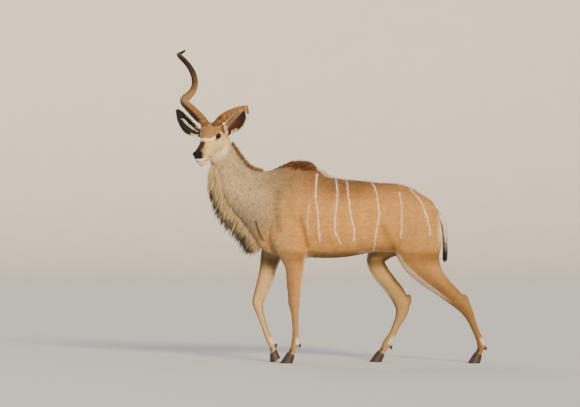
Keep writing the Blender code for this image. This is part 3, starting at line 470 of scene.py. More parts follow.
HEAD_MARKS = {
    # lines on the head's left half, mirrored for the right: places, half width, colour, strength
    "chevron": (((0.030, 0.069, 0.005), (0.052, 0.058, 0.012), (0.075, 0.044, 0.021),
                 (0.087, 0.022, 0.031), (0.090, 0.0, 0.034)), 0.0084, "white", 1.0),
    "upper_lip": (((0.230, 0.0, -0.046), (0.223, 0.022, -0.050), (0.200, 0.037, -0.062),
                   (0.165, 0.042, -0.076)), 0.0100, "white", 1.0),
    "chin": (((0.216, 0.0, -0.084), (0.200, 0.022, -0.096), (0.160, 0.032, -0.110)), 0.018,
             "white", 0.95),
    "jaw": (((0.140, 0.034, -0.117), (0.105, 0.038, -0.117), (0.070, 0.042, -0.114),
             (0.035, 0.050, -0.106), (0.008, 0.058, -0.094)), 0.010, "white", 1.0),
    # Painted shadow in the fold under the jaw, where it meets the neck.
    "painted_jaw_shadow": (((0.105, 0.022, -0.129), (0.060, 0.030, -0.129), (0.010, 0.042, -0.123),
                  (-0.030, 0.056, -0.104)), 0.006, "forehead", 0.40),
    "behind_eye": (((-0.030, 0.070, 0.010), (-0.046, 0.068, 0.006)), 0.008, "white", 0.5),
    "below_eye": (((0.004, 0.070, -0.030), (-0.004, 0.066, -0.055), (-0.010, 0.062, -0.085)), 0.012,
                  "white", 0.40),
    "tear": (((0.016, 0.070, -0.003), (0.034, 0.063, -0.010)), 0.0065, "black", 0.95),
    "eye_corner": (((-0.014, 0.070, 0.006), (-0.028, 0.068, 0.010)), 0.0050, "black", 0.9),
    "lip_corner": (((0.146, 0.046, -0.074), (0.138, 0.047, -0.077)), 0.0060, "black", 0.85),
    "mouth": (MOUTH, 0.0032, "black", 0.95),
}
FACE_LINES = {}                 # the same lines once they are laid on the skin


# Sizes and colours that a user would change

def length_property(name, description, default):
    return bpy.props.FloatProperty(name=name, description=description, default=default,
                                   min=0.0, unit="LENGTH")


def colour_property(name, description, hex_colour):
    return bpy.props.FloatVectorProperty(name=name, description=description, subtype="COLOR", size=3,
                                         min=0.0, max=1.0, default=linear(hex_colour))


def count_property(name, description, default, least=1):
    return bpy.props.IntProperty(name=name, description=description, default=default, min=least)


class KuduSkin(bpy.types.PropertyGroup):
    voxel: length_property("Voxel", "Grain of the skin when its parts are fused", 0.0036)
    body_depth: length_property("Body coat depth", "How far the skin lies inside the solids", 0.0045)
    face_depth: length_property("Face coat depth", "The same on the face and the lower legs", 0.0016)
    triangles: count_property("Triangles", "Triangles left in the skin", 120000, 20000)


class KuduCoat(bpy.types.PropertyGroup):
    tufts: count_property("Tufts", "Short tufts over the whole skin", 105000, 1000)
    length: length_property("Length", "Length of a tuft on the flank", 0.020)
    width: length_property("Width", "Half width of a tuft on the flank", 0.0026)
    flank: colour_property("Flank", "Warm fawn of the flank", "d39b55")
    # The back's colour is partly the coat's browner fawn and partly painted shade on the top of the
    # body.
    back: colour_property("Back", "Browner fawn along the back", "755336")
    shoulder: colour_property("Shoulder", "Lighter fawn of the shoulder", "cb9858")
    neck: colour_property("Neck", "Grey beige of the neck", "cdb58c")
    rump: colour_property("Rump", "Fawn of the rump and thigh", "c69656")
    # The belly's edge is partly darker hair and partly painted shade under the body.
    belly: colour_property("Belly", "Darker edge of the belly", "845a30")
    shank: colour_property("Shank", "Rusty fawn of the lower legs", "a47a4d")
    white: colour_property("White marks", "Stripes, lips and chin", "fff4dc")
    cheek: colour_property("Cheek", "Pale fawn of the cheek", "fad891")
    # The forehead's brown also serves as painted shadow under the jaw.
    forehead: colour_property("Forehead", "Brown of the forehead", "9c7146")
    muzzle: colour_property("Muzzle", "Brown of the muzzle above the lips", "5d3c27")
    # The dark colour also serves as painted shade in the body's folds.
    dark: colour_property("Dark marks", "Bridge of the nose and dark hair tips", "291912")
    black: colour_property("Black skin", "Nose, lips and lids", "15100e")


class KuduHorn(bpy.types.PropertyGroup):
    thickness: length_property("Thickness", "Half thickness at the base", HORN_THICK)
    rings: count_property("Growth rings", "Rings along the whole horn", 44)
    pale: colour_property("Pale horn", "Worn faces of the horn", "94683f")
    # The deep colour also serves as painted shadow along the keel and painted shade on the horns'
    # forward and downward side.
    deep: colour_property("Deep horn", "Grooves and keel", "1e1511")


class KuduStage(bpy.types.PropertyGroup):
    distance: length_property("Distance", "From the camera to the animal's middle", 25.0)
    pixel: length_property("Pixel", "What one pixel of the photograph spans at the flank", 0.007)
    floor: colour_property("Floor", "Pale floor and backdrop", "d9d7d2")


# Materials

def plug(tree, node, links):
    """Joins a node's inputs to sockets, or sets them to values."""
    for key, source in links.items():
        if isinstance(source, bpy.types.NodeSocket):
            tree.links.new(source, node.inputs[key])
        else:
            node.inputs[key].default_value = source


def add_node(tree, kind, links=None, stops=(), **settings):
    """Adds a node with its links, its settings and, on a colour ramp, its stops."""
    node = tree.nodes.new(kind)
    for key, value in settings.items():
        setattr(node, key, value)
    plug(tree, node, links or {})
    if stops:
        band = node.color_ramp.elements
        while len(band) < len(stops):
            band.new(0.5)
        for element, (place, colour) in zip(band, stops):
            element.position, element.color = place, (*colour, 1.0)
    return node


def blank_material(name, values):
    """A material with values on its Principled shader, ready for a pattern."""
    made = bpy.data.materials.new(name)
    made.use_nodes = True
    shader = made.node_tree.nodes["Principled BSDF"]
    plug(made.node_tree, shader, values)
    return made, made.node_tree, shader


def fur_material(name, roughness, bump_share):
    """Short dry hair: matt, with a faint sheen at grazing angles, mottled from hair to hair.

    Its colour comes from the markings stored on the mesh. The fine pattern is drawn at
    about 4 mm, coarser than single hairs, so that it shows from a few metres.
    """
    made, tree, shader = blank_material(name, {
        "Roughness": roughness, "IOR": 1.45, "Sheen Weight": 0.15, "Sheen Roughness": 0.45,
        "Specular IOR Level": 0.25})
    place = add_node(tree, "ShaderNodeTexCoord").outputs["Object"]
    mark = add_node(tree, "ShaderNodeAttribute", attribute_name="markings")
    fine = add_node(tree, "ShaderNodeTexNoise", {"Vector": place, "Scale": 260.0, "Detail": 3.0})
    broad = add_node(tree, "ShaderNodeTexNoise", {"Vector": place, "Scale": 22.0, "Detail": 3.0})
    value = add_node(tree, "ShaderNodeMapRange",
                     {"Value": fine.outputs["Fac"], "From Min": 0.3, "From Max": 0.7,
                      "To Min": 0.80, "To Max": 1.12})
    patch = add_node(tree, "ShaderNodeMapRange",
                     {"Value": broad.outputs["Fac"], "From Min": 0.3, "From Max": 0.7,
                      "To Min": 0.93, "To Max": 1.06})
    both = add_node(tree, "ShaderNodeMath", {0: value.outputs[0], 1: patch.outputs[0]},
                    operation="MULTIPLY")
    shade = add_node(tree, "ShaderNodeHueSaturation",
                     {"Color": mark.outputs["Color"], "Value": both.outputs[0]})
    lie = add_node(tree, "ShaderNodeMapping", {"Vector": place, "Scale": (90.0, 420.0, 300.0)})
    comb = add_node(tree, "ShaderNodeTexNoise", {"Vector": lie.outputs["Vector"], "Scale": 1.0,
                                                 "Detail": 4.0})
    bump = add_node(tree, "ShaderNodeBump", {"Height": comb.outputs["Fac"], "Strength": bump_share,
                                             "Distance": 0.0012})
    plug(tree, shader, {"Base Color": shade.outputs["Color"], "Normal": bump.outputs["Normal"]})
    return made


def long_hair():
    """The one material of fringe, manes, tail, ear hair and lashes."""
    return bpy.data.materials.get("long_hair") or fur_material("long_hair", 0.6, 0.2)


def horn_material():
    """Horn of keratin: worn satin faces, dark grooves between growth rings, fine length lines."""
    made, tree, shader = blank_material("horn_keratin", {
        "IOR": 1.5, "Specular IOR Level": 0.20, "Coat Weight": 0.02, "Coat Roughness": 0.3})
    mark = add_node(tree, "ShaderNodeAttribute", attribute_name="markings")
    grow = add_node(tree, "ShaderNodeAttribute", attribute_name="growth")
    lines = add_node(tree, "ShaderNodeMapping", {"Vector": grow.outputs["Vector"],
                                                 "Scale": (60.0, 14.0, 1.0)})
    grain = add_node(tree, "ShaderNodeTexNoise", {"Vector": lines.outputs["Vector"], "Scale": 1.0,
                                                  "Detail": 5.0, "Roughness": 0.6})
    value = add_node(tree, "ShaderNodeMapRange",
                     {"Value": grain.outputs["Fac"], "From Min": 0.3, "From Max": 0.7,
                      "To Min": 0.62, "To Max": 1.22})
    shade = add_node(tree, "ShaderNodeHueSaturation",
                     {"Color": mark.outputs["Color"], "Value": value.outputs[0]})
    rough = add_node(tree, "ShaderNodeMapRange", {"Value": grain.outputs["Fac"], "To Min": 0.56,
                                                  "To Max": 0.80})
    bump = add_node(tree, "ShaderNodeBump", {"Height": grain.outputs["Fac"], "Strength": 0.5,
                                             "Distance": 0.0016})
    plug(tree, shader, {"Base Color": shade.outputs["Color"], "Roughness": rough.outputs[0],
                        "Normal": bump.outputs["Normal"]})
    return made


def hoof_material():
    """Hoof wall of dark keratin: satin, with faint rings across and scuffs."""
    made, tree, shader = blank_material("hoof_wall", {"IOR": 1.54})
    place = add_node(tree, "ShaderNodeTexCoord").outputs["Object"]
    level = add_node(tree, "ShaderNodeMapping", {"Vector": place, "Scale": (30.0, 30.0, 420.0)})
    rings = add_node(tree, "ShaderNodeTexNoise", {"Vector": level.outputs["Vector"], "Scale": 1.0,
                                                  "Detail": 3.0})
    scuff = add_node(tree, "ShaderNodeTexNoise", {"Vector": place, "Scale": 180.0, "Detail": 4.0})
    tone = add_node(tree, "ShaderNodeValToRGB", {"Fac": rings.outputs["Fac"]}, [
        (0.30, linear("17120f")), (0.62, linear("3b3029")), (0.85, linear("6a5a4b"))])
    rough = add_node(tree, "ShaderNodeMapRange", {"Value": scuff.outputs["Fac"], "To Min": 0.35,
                                                  "To Max": 0.75})
    bump = add_node(tree, "ShaderNodeBump", {"Height": rings.outputs["Fac"], "Strength": 0.5,
                                             "Distance": 0.0012})
    plug(tree, shader, {"Base Color": tone.outputs["Color"], "Roughness": rough.outputs[0],
                        "Normal": bump.outputs["Normal"]})
    return made


def eye_material():
    """A wet dark brown eye under a clear cornea: near black with a warm iris ring."""
    made, tree, shader = blank_material("wet_eye", {
        "Roughness": 0.10, "IOR": 1.38, "Specular IOR Level": 0.22, "Coat Weight": 0.06,
        "Coat Roughness": 0.03})
    mark = add_node(tree, "ShaderNodeAttribute", attribute_name="markings")
    place = add_node(tree, "ShaderNodeTexCoord").outputs["Object"]
    fleck = add_node(tree, "ShaderNodeTexNoise", {"Vector": place, "Scale": 900.0, "Detail": 2.0})
    value = add_node(tree, "ShaderNodeMapRange", {"Value": fleck.outputs["Fac"], "To Min": 0.75,
                                                  "To Max": 1.2})
    shade = add_node(tree, "ShaderNodeHueSaturation",
                     {"Color": mark.outputs["Color"], "Value": value.outputs[0]})
    plug(tree, shader, {"Base Color": shade.outputs["Color"]})
    return made


def studio_material(colour):
    """Matt painted board, evenly pale with a trace of grain."""
    made, tree, shader = blank_material("painted_board", {"Roughness": 0.9, "IOR": 1.5})
    place = add_node(tree, "ShaderNodeTexCoord").outputs["Object"]
    grain = add_node(tree, "ShaderNodeTexNoise", {"Vector": place, "Scale": 3.0, "Detail": 2.0})
    dim = tuple(c * 0.97 for c in colour)
    tone = add_node(tree, "ShaderNodeValToRGB", {"Fac": grain.outputs["Fac"]},
                    [(0.3, dim), (0.7, tuple(colour))])
    plug(tree, shader, {"Base Color": tone.outputs["Color"]})
    return made


# Flesh forms

def egg_ring(top, bottom, side, half_width, egg, power=1.0):
    """A ring through a top and a bottom point, fuller below where egg is above zero."""
    top, bottom = np.array(top), np.array(bottom)
    middle, rise = (top + bottom) / 2, (top - bottom) / 2
    side = unit(np.array(side) - unit(rise) * np.dot(side, unit(rise)))
    ring = []
    for angle in np.linspace(0, FULL_TURN, 32, endpoint=False):
        across, up = math.cos(angle), math.sin(angle)
        across = math.copysign(abs(across) ** power, across)
        ring.append(middle + side * half_width * across * (1 - egg * up) + rise * up)
    return ring


def limb(name, stations):
    """A tube through rows of x, y, z, half size fore and aft, half size across."""
    rows = smooth_rows(stations, 6)
    rings = []
    for row, step in zip(rows, unit(np.gradient(rows[:, :3], axis=0))):
        across = unit(np.array([0, 1, 0]) - step * step[1])
        fore = np.cross(across, step)
        rings.append([row[:3] + fore * row[3] * math.cos(a) + across * row[4] * math.sin(a)
                      for a in np.linspace(0, FULL_TURN, 24, endpoint=False)])
    return loft(name, rings)


def blob(name, centre, radii, along=(1, 0, 0), up=(0, 0, 1)):
    """An ellipsoid whose first radius lies along the given direction."""
    along = unit(along)
    up = unit(np.array(up, float) - along * np.dot(up, along))
    turn = Matrix((along * radii[0], np.cross(up, along) * radii[1], up * radii[2])).transposed()
    bpy.ops.mesh.primitive_ico_sphere_add(subdivisions=3, radius=1.0)
    made = bpy.context.object
    made.name = name
    made.data.transform(Matrix.Translation(Vector(centre)) @ turn.to_4x4())
    face_out(made)
    return made


def head_blob(name, centre, radii, along=(1, 0, 0), up=(0, 0, 1)):
    return blob(name, in_head(*centre), radii, along_head(*along), along_head(*up))


def trunk():
    rings = []
    for top_x, top_z, low_x, low_z, middle, width, egg in smooth_rows(TRUNK, 6):
        rings.append(egg_ring((top_x, middle, top_z), (low_x, middle, low_z), (0, 1, 0), width, egg))
    return loft("trunk", rings)


def muscles():
    """Bones and muscles that show through the coat."""
    made = [blob("withers", (-0.215, 0.0, 1.320), (0.175, 0.060, 0.048), (1, 0, -0.08))]
    for side in BOTH_SIDES:
        made += [
            blob("point_of_hip", (0.440, side * 0.092, 1.150), (0.130, 0.060, 0.070)),
            blob("rump", (0.590, side * 0.078, 1.060), (0.150, 0.085, 0.115)),
            blob("pin_bone", (0.715, side * 0.050, 1.000), (0.050, 0.045, 0.090)),
            blob("shoulder_blade", (-0.225, side * 0.088, 1.140), (0.110, 0.062, 0.170),
                 (0.90, 0, 0.42), (-0.42, 0, 0.90)),
            blob("brisket", (-0.400, side * 0.045, 0.835), (0.110, 0.060, 0.075), (1, 0, -0.35)),
        ]
    return made


def joints_of_bone():
    """Elbows, knees, hocks and dewclaws."""
    made = [
        blob("elbow_left", (-0.195, -0.125, 0.772), (0.045, 0.036, 0.055)),
        blob("elbow_right", (-0.325, 0.122, 0.770), (0.045, 0.036, 0.055)),
        blob("hock_left", (0.945, -0.104, 0.440), (0.046, 0.020, 0.021), (-0.35, 0, 0.94)),
        blob("hock_right", (0.555, 0.104, 0.432), (0.046, 0.020, 0.021), (0.10, 0, 0.99)),
        blob("knee_left", (-0.258, -0.101, 0.448), (0.032, 0.036, 0.045)),
        blob("knee_right", (-0.508, 0.096, 0.432), (0.030, 0.036, 0.043)),
    ]
    for x, y, z in DEWCLAWS.values():
        made += [blob("dewclaw_seat", (x, y + side * 0.014, z + 0.006), (0.010, 0.009, 0.012))
                 for side in BOTH_SIDES]
    return made


def skull():
    """Skull, jaw, muzzle, lips, lids and cheeks, in the head's own frame."""
    rings = []
    for x, top, low, width, egg in smooth_rows(SKULL, 6):
        rings.append(egg_ring(in_head(x, 0, top), in_head(x, 0, low), along_head(0, 1, 0),
                              width, egg, 0.92))
    made = [loft("skull", rings), head_blob("nose_pad", (0.216, 0, -0.020), (0.018, 0.028, 0.023))]
    for side in BOTH_SIDES:
        made += [
            head_blob("cheek", (-0.036, side * 0.046, -0.062), (0.072, 0.022, 0.052)),
            head_blob("jaw_angle", (-0.055, side * 0.034, -0.092), (0.050, 0.022, 0.036)),
            head_blob("brow", (-0.008, side * 0.056, 0.026), (0.034, 0.019, 0.013),
                      (1, side * 0.10, -0.22)),
            head_blob("face_ridge", (0.057, side * 0.044, -0.026), (0.075, 0.012, 0.017),
                      (1, side * -0.22, -0.16)),
            head_blob("upper_lip", (0.184, side * 0.028, -0.052), (0.038, 0.015, 0.026)),
            head_blob("nostril_wing", (0.210, side * 0.023, -0.006), (0.018, 0.014, 0.016)),
            head_blob("chin", (0.178, side * 0.012, -0.108), (0.034, 0.020, 0.016)),
            head_blob("ear_root", (-0.100, side * 0.058, -0.032), (0.034, 0.024, 0.034)),
            head_blob("horn_root", (HORN_BASE[0], side * 0.044, 0.038), (0.047, 0.042, 0.035)),
            head_blob("eye_orbit", (0.0, side * (EYE_SPREAD - 0.018), 0.0), (0.034, 0.026, 0.030)),
        ]
        made += lids(side)
    return made


def eye_axes(side):
    """Where one eye looks, its upward and its sideways direction, in the head's frame."""
    look = unit((0.38, side * 0.92, 0.02))
    up = unit(np.array((0, 0, 1.0)) - look * look[2])
    return look, up, np.cross(look, up)


def lids(side):
    """A soft rim of small blobs round one eye, heavier above."""
    look, up, across = eye_axes(side)
    centre = np.array((0.0, side * EYE_SPREAD, 0.0)) + look * 0.0085
    made = []
    for turn in np.linspace(0, FULL_TURN, 18, endpoint=False):
        high = math.sin(turn)
        place = centre + across * 0.0195 * math.cos(turn) + up * (0.0132 * high + 0.001)
        place = place - look * 0.005 * math.cos(turn) ** 2
        size = 0.0062 if high > 0.2 else 0.0050
        made.append(head_blob("lid", tuple(place), (size, size, size)))
    return made


# Where a point lies on the animal

def head_share(points):
    """One on the head, zero on the neck, with a soft step behind the jaw."""
    away = head_places(points)
    return smoothstep(0.020, -0.030, (away[:, 0] + 0.095) * -0.50 + (away[:, 2] + 0.120) * -0.866)


def neck_share(points):
    ahead = points[:, 0] + 0.20 * (points[:, 2] - 1.10)
    return smoothstep(-0.27, -0.50, ahead) * (1 - head_share(points))


def leg_share(points):
    return smoothstep(0.86, 0.66, points[:, 2]) * (1 - head_share(points))


def leg_names(points):
    """Which leg a point is nearest to, as an index into LEGS."""
    hind = points[:, 0] > np.where(points[:, 1] < 0, 0.20, 0.02)
    return hind * 2 + (points[:, 1] > 0)


def leg_place(points):
    """How far a point lies fore of its leg's middle line and inside it, in half sizes."""
    fore, inside = np.zeros(len(points)), np.zeros(len(points))
    index = leg_names(points)
    for i, (name, rows) in enumerate(LEGS.items()):
        table = np.array(rows)[::-1]
        here = index == i
        z = points[here, 2]
        middle = np.interp(z, table[:, 2], table[:, 0])
        side = np.interp(z, table[:, 2], table[:, 1])
        fore[here] = (middle - points[here, 0]) / np.interp(z, table[:, 2], table[:, 3])
        inward = 1.0 if "left" in name else -1.0
        inside[here] = inward * (points[here, 1] - side) / np.interp(z, table[:, 2], table[:, 4])
    return fore, inside


def line_distance(points, line):
    """The shortest way from each point to a line of places."""
    line = np.array(line, float)
    best = np.full(len(points), 1e9)
    for start, end in zip(line[:-1], line[1:]):
        along = end - start
        share = np.clip((points - start) @ along / (along @ along), 0, 1)
        best = np.minimum(best, np.linalg.norm(points - start - share[:, None] * along, axis=1))
    return best


def wobble(points, scale, seed):
    """A smooth value from -1 to 1 that wanders over the body."""
    draw = np.random.default_rng(seed)
    total = np.zeros(len(points))
    for k in range(5):
        wave = draw.normal(size=3) * scale * (1 + 0.6 * k)
        total += np.sin(points @ wave + draw.uniform(0, 6.28)) / (1 + 0.5 * k)
    return total / 2.4


def lie_of_coat(points, normals):
    """The way the hair lies at each place, along the surface."""
    share = head_share(points)[:, None]
    neck = neck_share(points)[:, None]
    legs = leg_share(points)[:, None]
    upper = smoothstep(1.00, 1.30, points[:, 2])[:, None]
    body = np.array([0.90, 0.0, -0.38]) * (1 - upper) + np.array([0.99, 0.0, -0.08]) * upper
    lie = body * (1 - neck) + np.array([0.48, 0.05, -0.86]) * neck
    lie = lie * (1 - legs) + np.array([0.16, 0.0, -0.98]) * legs
    lie = lie * (1 - share) + (-FORE * 0.95 - RISE * 0.12) * share
    lie = lie + 0.10 * np.stack([wobble(points, 9, s) for s in (3, 4, 5)], axis=1)
    return unit(lie - normals * np.sum(lie * normals, axis=1)[:, None])


def layered(colour, *layers):
    """Lays colours over one another, each with its share at every place."""
    for over, share in layers:
        colour = mix(colour, over, share)
    return colour


def head_colours(points, tone):
    """Colours of the face at places given in the animal's frame."""
    mirrored = mirrored_places(points)
    x, y, z = mirrored.T
    top = smoothstep(-0.005, 0.030, z + 0.10 * x) * smoothstep(0.115, 0.060, x)
    muzzle = smoothstep(0.130, 0.185, x + 0.9 * z) * smoothstep(-0.050, -0.030, z)
    nose_side = smoothstep(0.042, 0.026, y) * smoothstep(0.09, 0.14, x) * smoothstep(-0.03, 0.0, z)
    bridge = smoothstep(0.028, 0.018, y) * smoothstep(0.094, 0.112, x) * smoothstep(-0.01, 0.010, z)
    pad = smoothstep(0.205, 0.216, x) * smoothstep(-0.048, -0.040, z)
    wing = smoothstep(0.031, 0.021, distance(mirrored, NOSTRIL)) * smoothstep(-0.044, -0.036, z)
    colour = layered(
        np.tile(tone["cheek"], (len(points), 1)),
        (tone["forehead"], 0.9 * top),
        (tone["forehead"], 0.30 * smoothstep(0.09, 0.20, x) * smoothstep(-0.07, -0.02, z)),
        (tone["neck"], 0.6 * smoothstep(-0.06, -0.11, x) * smoothstep(0.0, -0.05, z)),
        (tone["white"], 0.45 * smoothstep(-0.085, -0.115, z)),
        (tone["muzzle"], 0.65 * muzzle),
        (tone["forehead"], 0.6 * nose_side),
        (tone["dark"], 0.95 * bridge),
        (tone["black"], np.maximum(pad, wing)))
    for name, (_, half, shade, strength) in HEAD_MARKS.items():
        near = line_distance(mirrored, FACE_LINES[name]) + 0.0016 * wobble(points, 160, 7)
        colour = mix(colour, tone[shade], strength * smoothstep(half * 1.2, half * 0.75, near))
    eye = distance(mirrored, (0.008, EYE_SPREAD + 0.006, 0.0))
    return mix(colour, tone["black"], smoothstep(0.0250, 0.0205, eye))


def body_colours(points, tone):
    """Colours of neck, body and legs at places given in the animal's frame."""
    x, _, z = points.T
    shoulder = np.exp(-((x + 0.20) / 0.15) ** 2 - ((z - 1.07) / 0.17) ** 2)
    front = smoothstep(-0.10, -0.38, x) * smoothstep(1.02, 1.22, z)
    colour = layered(
        np.tile(tone["flank"], (len(points), 1)),
        # Browner fawn along the back, partly painted shade on the top of the body.
        (tone["back"], 0.85 * smoothstep(1.10, 1.26, z + 0.05 * wobble(points, 7, 1))),
        (tone["shoulder"], 0.9 * shoulder),
        (tone["rump"], 0.8 * smoothstep(0.36, 0.60, x)),
        # Painted shade under the body, over the belly's darker hair.
        (tone["belly"], 0.75 * smoothstep(0.800, 0.755, z) * smoothstep(0.66, 0.73, z)),
        (tone["neck"] * 0.54, 0.58 * front))
    neck = neck_share(points)
    grey = tone["neck"][None] * (1 - 0.34 * smoothstep(1.25, 0.98, z)[:, None])
    # Painted highlight: the brisket made brighter than the flank's fawn.
    brisket = np.exp(-((x + 0.43) / 0.09) ** 2 - ((z - 0.87) / 0.07) ** 2)
    speck = smoothstep(0.35, 0.75, wobble(points, 210, 12)) * (0.22 * neck + 0.12)
    colour = layered(colour, (grey, neck), (tone["flank"] * 1.15, 0.7 * brisket), (tone["dark"], speck))
    flat = np.stack([x, z], axis=1)
    # Painted shade: the body's folds darkened towards the dark hair colour.
    for line, half, strength in SHADOWS:
        colour = mix(colour, tone["dark"], strength * np.exp(-(line_distance(flat, line) / half) ** 2))
    colour = colour * (1 + 0.08 * wobble(points, 26, 33) + 0.07 * wobble(points, 70, 34))[:, None]
    return stripe_colours(points, leg_colours(points, colour, tone), tone)


def leg_colours(points, colour, tone):
    """Rusty shanks with pale edges, dark patches that are partly painted shade between the legs, white
    rings, and the belly's dark edge, partly painted shade under the body.
    """
    x, _, z = points.T
    legs = leg_share(points)
    fore, inside = leg_place(points)
    hind = x > 0.1
    lower = smoothstep(0.94, 0.50, z) * (legs > 0)
    colour = layered(
        colour,
        (tone["shank"], lower * smoothstep(-0.8, 0.6, fore)),
        (tone["cheek"], legs * 0.55 * smoothstep(0.35, 0.9, inside)))
    colour = colour * (1 - 0.38 * legs * hind * smoothstep(0.72, 0.50, z))[:, None]
    # Painted shade between the legs, over the coat's dark patch high on the inner side of each leg.
    patch = np.exp(-((z - 0.70) / 0.055) ** 2) * smoothstep(0.1, 0.6, inside)
    rear = smoothstep(-0.72, -0.96, fore) * smoothstep(0.34, 0.42, z) * smoothstep(0.78, 0.70, z)
    sock = smoothstep(0.115, 0.095, z) * smoothstep(0.062, 0.080, z)
    ring = 0.8 * smoothstep(0.190, 0.165, z) * smoothstep(0.120, 0.140, z)
    edge = smoothstep(0.88, 0.985, fore) * hind * smoothstep(0.40, 0.50, z) * smoothstep(0.80, 0.74, z)
    # The underside between the legs: painted shade under the body, over darker hair.
    under = smoothstep(0.775, 0.748, z) * smoothstep(0.700, 0.715, z)
    under = under * smoothstep(-0.15, -0.10, x) * smoothstep(0.29, 0.23, x)
    return layered(
        colour,
        (tone["dark"], 0.75 * patch),
        (tone["white"], 0.75 * rear * ~hind),
        (tone["dark"], 0.7 * sock * smoothstep(-0.2, 0.5, fore)),
        (tone["white"], ring * smoothstep(0.2, -0.5, fore)),
        (tone["white"], 0.45 * edge),
        (tone["belly"], 0.9 * under))


def stripe_colours(points, colour, tone):
    """White lines down the flanks, along the back and at the rump's rear edge."""
    x, y, z = points.T
    flat = np.stack([x, z], axis=1)
    edge = 0.0022 * wobble(points, *STRIPE_EDGE)
    for *line, strength in STRIPES:
        near = line_distance(flat, line) + edge
        broken = 0.78 + 0.22 * wobble(points, 40, 23)
        colour = mix(colour, tone["white"], strength * broken * smoothstep(0.0040, 0.0018, near))
    ridge = smoothstep(0.012, 0.006, abs(y) + edge) * smoothstep(-0.14, -0.08, x)
    colour = mix(colour, tone["white"], 0.85 * (ridge * smoothstep(1.15, 1.20, z)))
    rear = smoothstep(0.738, 0.764, x) * smoothstep(0.80, 0.90, z)
    return mix(colour, tone["white"], 0.65 * rear)


def coat_colours(points, tone):
    share = head_share(points)
    colour = body_colours(points, tone)
    return mix(colour, head_colours(points, tone), share)


def coat_tones():
    """The coat's colours as plain arrays, from the panel."""
    coat = bpy.context.scene.kudu_coat
    names = ("flank", "back", "shoulder", "neck", "rump", "belly", "shank", "white", "cheek",
             "forehead", "muzzle", "dark", "black")
    return {name: np.array(getattr(coat, name)) for name in names}


def coat_depth(points):
    """How deep the skin lies under the coat's surface at each place."""
    skin = bpy.context.scene.kudu_skin
    bare = np.maximum(head_share(points) * 0.9, leg_share(points) * 0.75)
    return skin.body_depth * (1 - bare) + skin.face_depth * bare


def unwrapped(points):
    """Each place on an unwrap of the skin: round its own part, in that part's own panel."""
    share, legs = head_share(points) > 0.5, leg_share(points) > 0.5
    neck = (neck_share(points) > 0.5) & ~legs
    away = head_places(points)
    round_head = np.arctan2(away[:, 1], away[:, 2] + 0.04) / FULL_TURN + 0.5
    along_neck = (points - np.array([-0.60, -0.02, 1.20])) @ unit((-0.42, -0.05, 0.85))
    round_neck = np.arctan2(points[:, 1], points[:, 0] + 0.60 + 0.45 * along_neck) / 6.2832 + 0.5
    round_body = np.arctan2(points[:, 1], points[:, 2] - 1.0) / FULL_TURN + 0.5
    fore, inside = leg_place(points)
    index = leg_names(points)
    round_leg = np.arctan2(inside, fore) / FULL_TURN + 0.5
    u = 0.01 + 0.98 * (points[:, 0] + 0.55) / 1.65
    v = 0.50 + 0.48 * round_body
    u = np.where(neck, 0.01 + 0.30 * round_neck, u)
    v = np.where(neck, 0.26 + 0.22 * np.clip((along_neck + 0.5) / 1.0, 0, 1), v)
    u = np.where(legs, 0.34 + 0.16 * index + 0.14 * round_leg, u)
    v = np.where(legs, 0.02 + 0.46 * np.clip(points[:, 2] / 0.88, 0, 1), v)
    u = np.where(share, 0.01 + 0.30 * round_head, u)
    v = np.where(share, 0.02 + 0.22 * np.clip((away[:, 0] + 0.18) / 0.45, 0, 1), v)
    return np.stack([np.clip(u, 0.003, 0.997), np.clip(v, 0.003, 0.997)], axis=1)


# Hair as joined solid blades

def blades(name, spines, sides, widths, thick, colours, roots_uv, finish, ground=None):
    """One mesh of closed blades, each a flat three-sided spine that ends in a tip.

    spines is blades by stations by place; widths are half widths at the stations but the last.
    ground is the skin's normal under each blade, which short fur is shaded with.
    """
    count, stations = spines.shape[:2]
    steps = unit(np.gradient(spines, axis=1))
    lifts = unit(np.cross(steps, sides[:, None, :]))
    ring = stations - 1
    left = spines[:, :ring] - sides[:, None, :] * widths[:, :, None]
    right = spines[:, :ring] + sides[:, None, :] * widths[:, :, None]
    ridge = spines[:, :ring] + lifts[:, :ring] * (widths * thick)[:, :, None]
    body = np.stack([left, right, ridge], axis=2).reshape(count, ring * 3, 3)
    verts = np.concatenate([body, spines[:, -1:]], axis=1)
    each = ring * 3 + 1
    pattern = [(0, 2, 1)]
    for i in range(ring - 1):
        for a, b in ((0, 1), (1, 2), (2, 0)):
            low, high = i * 3, i * 3 + 3
            pattern += [(low + a, low + b, high + b), (low + a, high + b, high + a)]
    pattern += [(each - 4 + a, each - 4 + b, each - 1) for a, b in ((0, 1), (1, 2), (2, 0))]
    pattern = np.array(pattern)
    triangles = (np.arange(count)[:, None, None] * each + pattern[None]).reshape(-1, 3)
    made = fast_mesh(name, verts.reshape(-1, 3), triangles, finish)
    shades = np.repeat(colours[:, :ring], 3, axis=1)
    shades = np.concatenate([shades, colours[:, -1:]], axis=1).reshape(-1, 3)
    paint(made, shades)
    patch = 0.0015                  # half size of a blade on the unwrap
    across = np.tile([-patch, patch, 0.0], ring)
    along = np.repeat(np.linspace(-patch, patch, stations)[:ring], 3)
    spread = np.stack([np.append(across, 0.0), np.append(along, patch)], axis=1)
    places = (roots_uv[:, None, :] + spread[None]).reshape(-1, 2)
    layer = made.data.uv_layers.new(name="OFBake")
    index = np.empty(len(made.data.loops), np.int32)
    made.data.loops.foreach_get("vertex_index", index)
    layer.data.foreach_set("uv", places[index].astype(np.float32).ravel())
    made.data.polygons.foreach_set("use_smooth", np.ones(len(made.data.polygons), bool))
    if ground is not None:
        spread = np.stack([-sides, sides, sides * 0.0], axis=1) * 0.40
        facing = unit(ground[:, None, :] + np.tile(spread, (1, ring, 1)))
        facing = np.concatenate([facing, ground[:, None, :]], axis=1).reshape(-1, 3)
        made.data.normals_split_custom_set_from_vertices(facing.tolist())
    made.data.update()
    return made


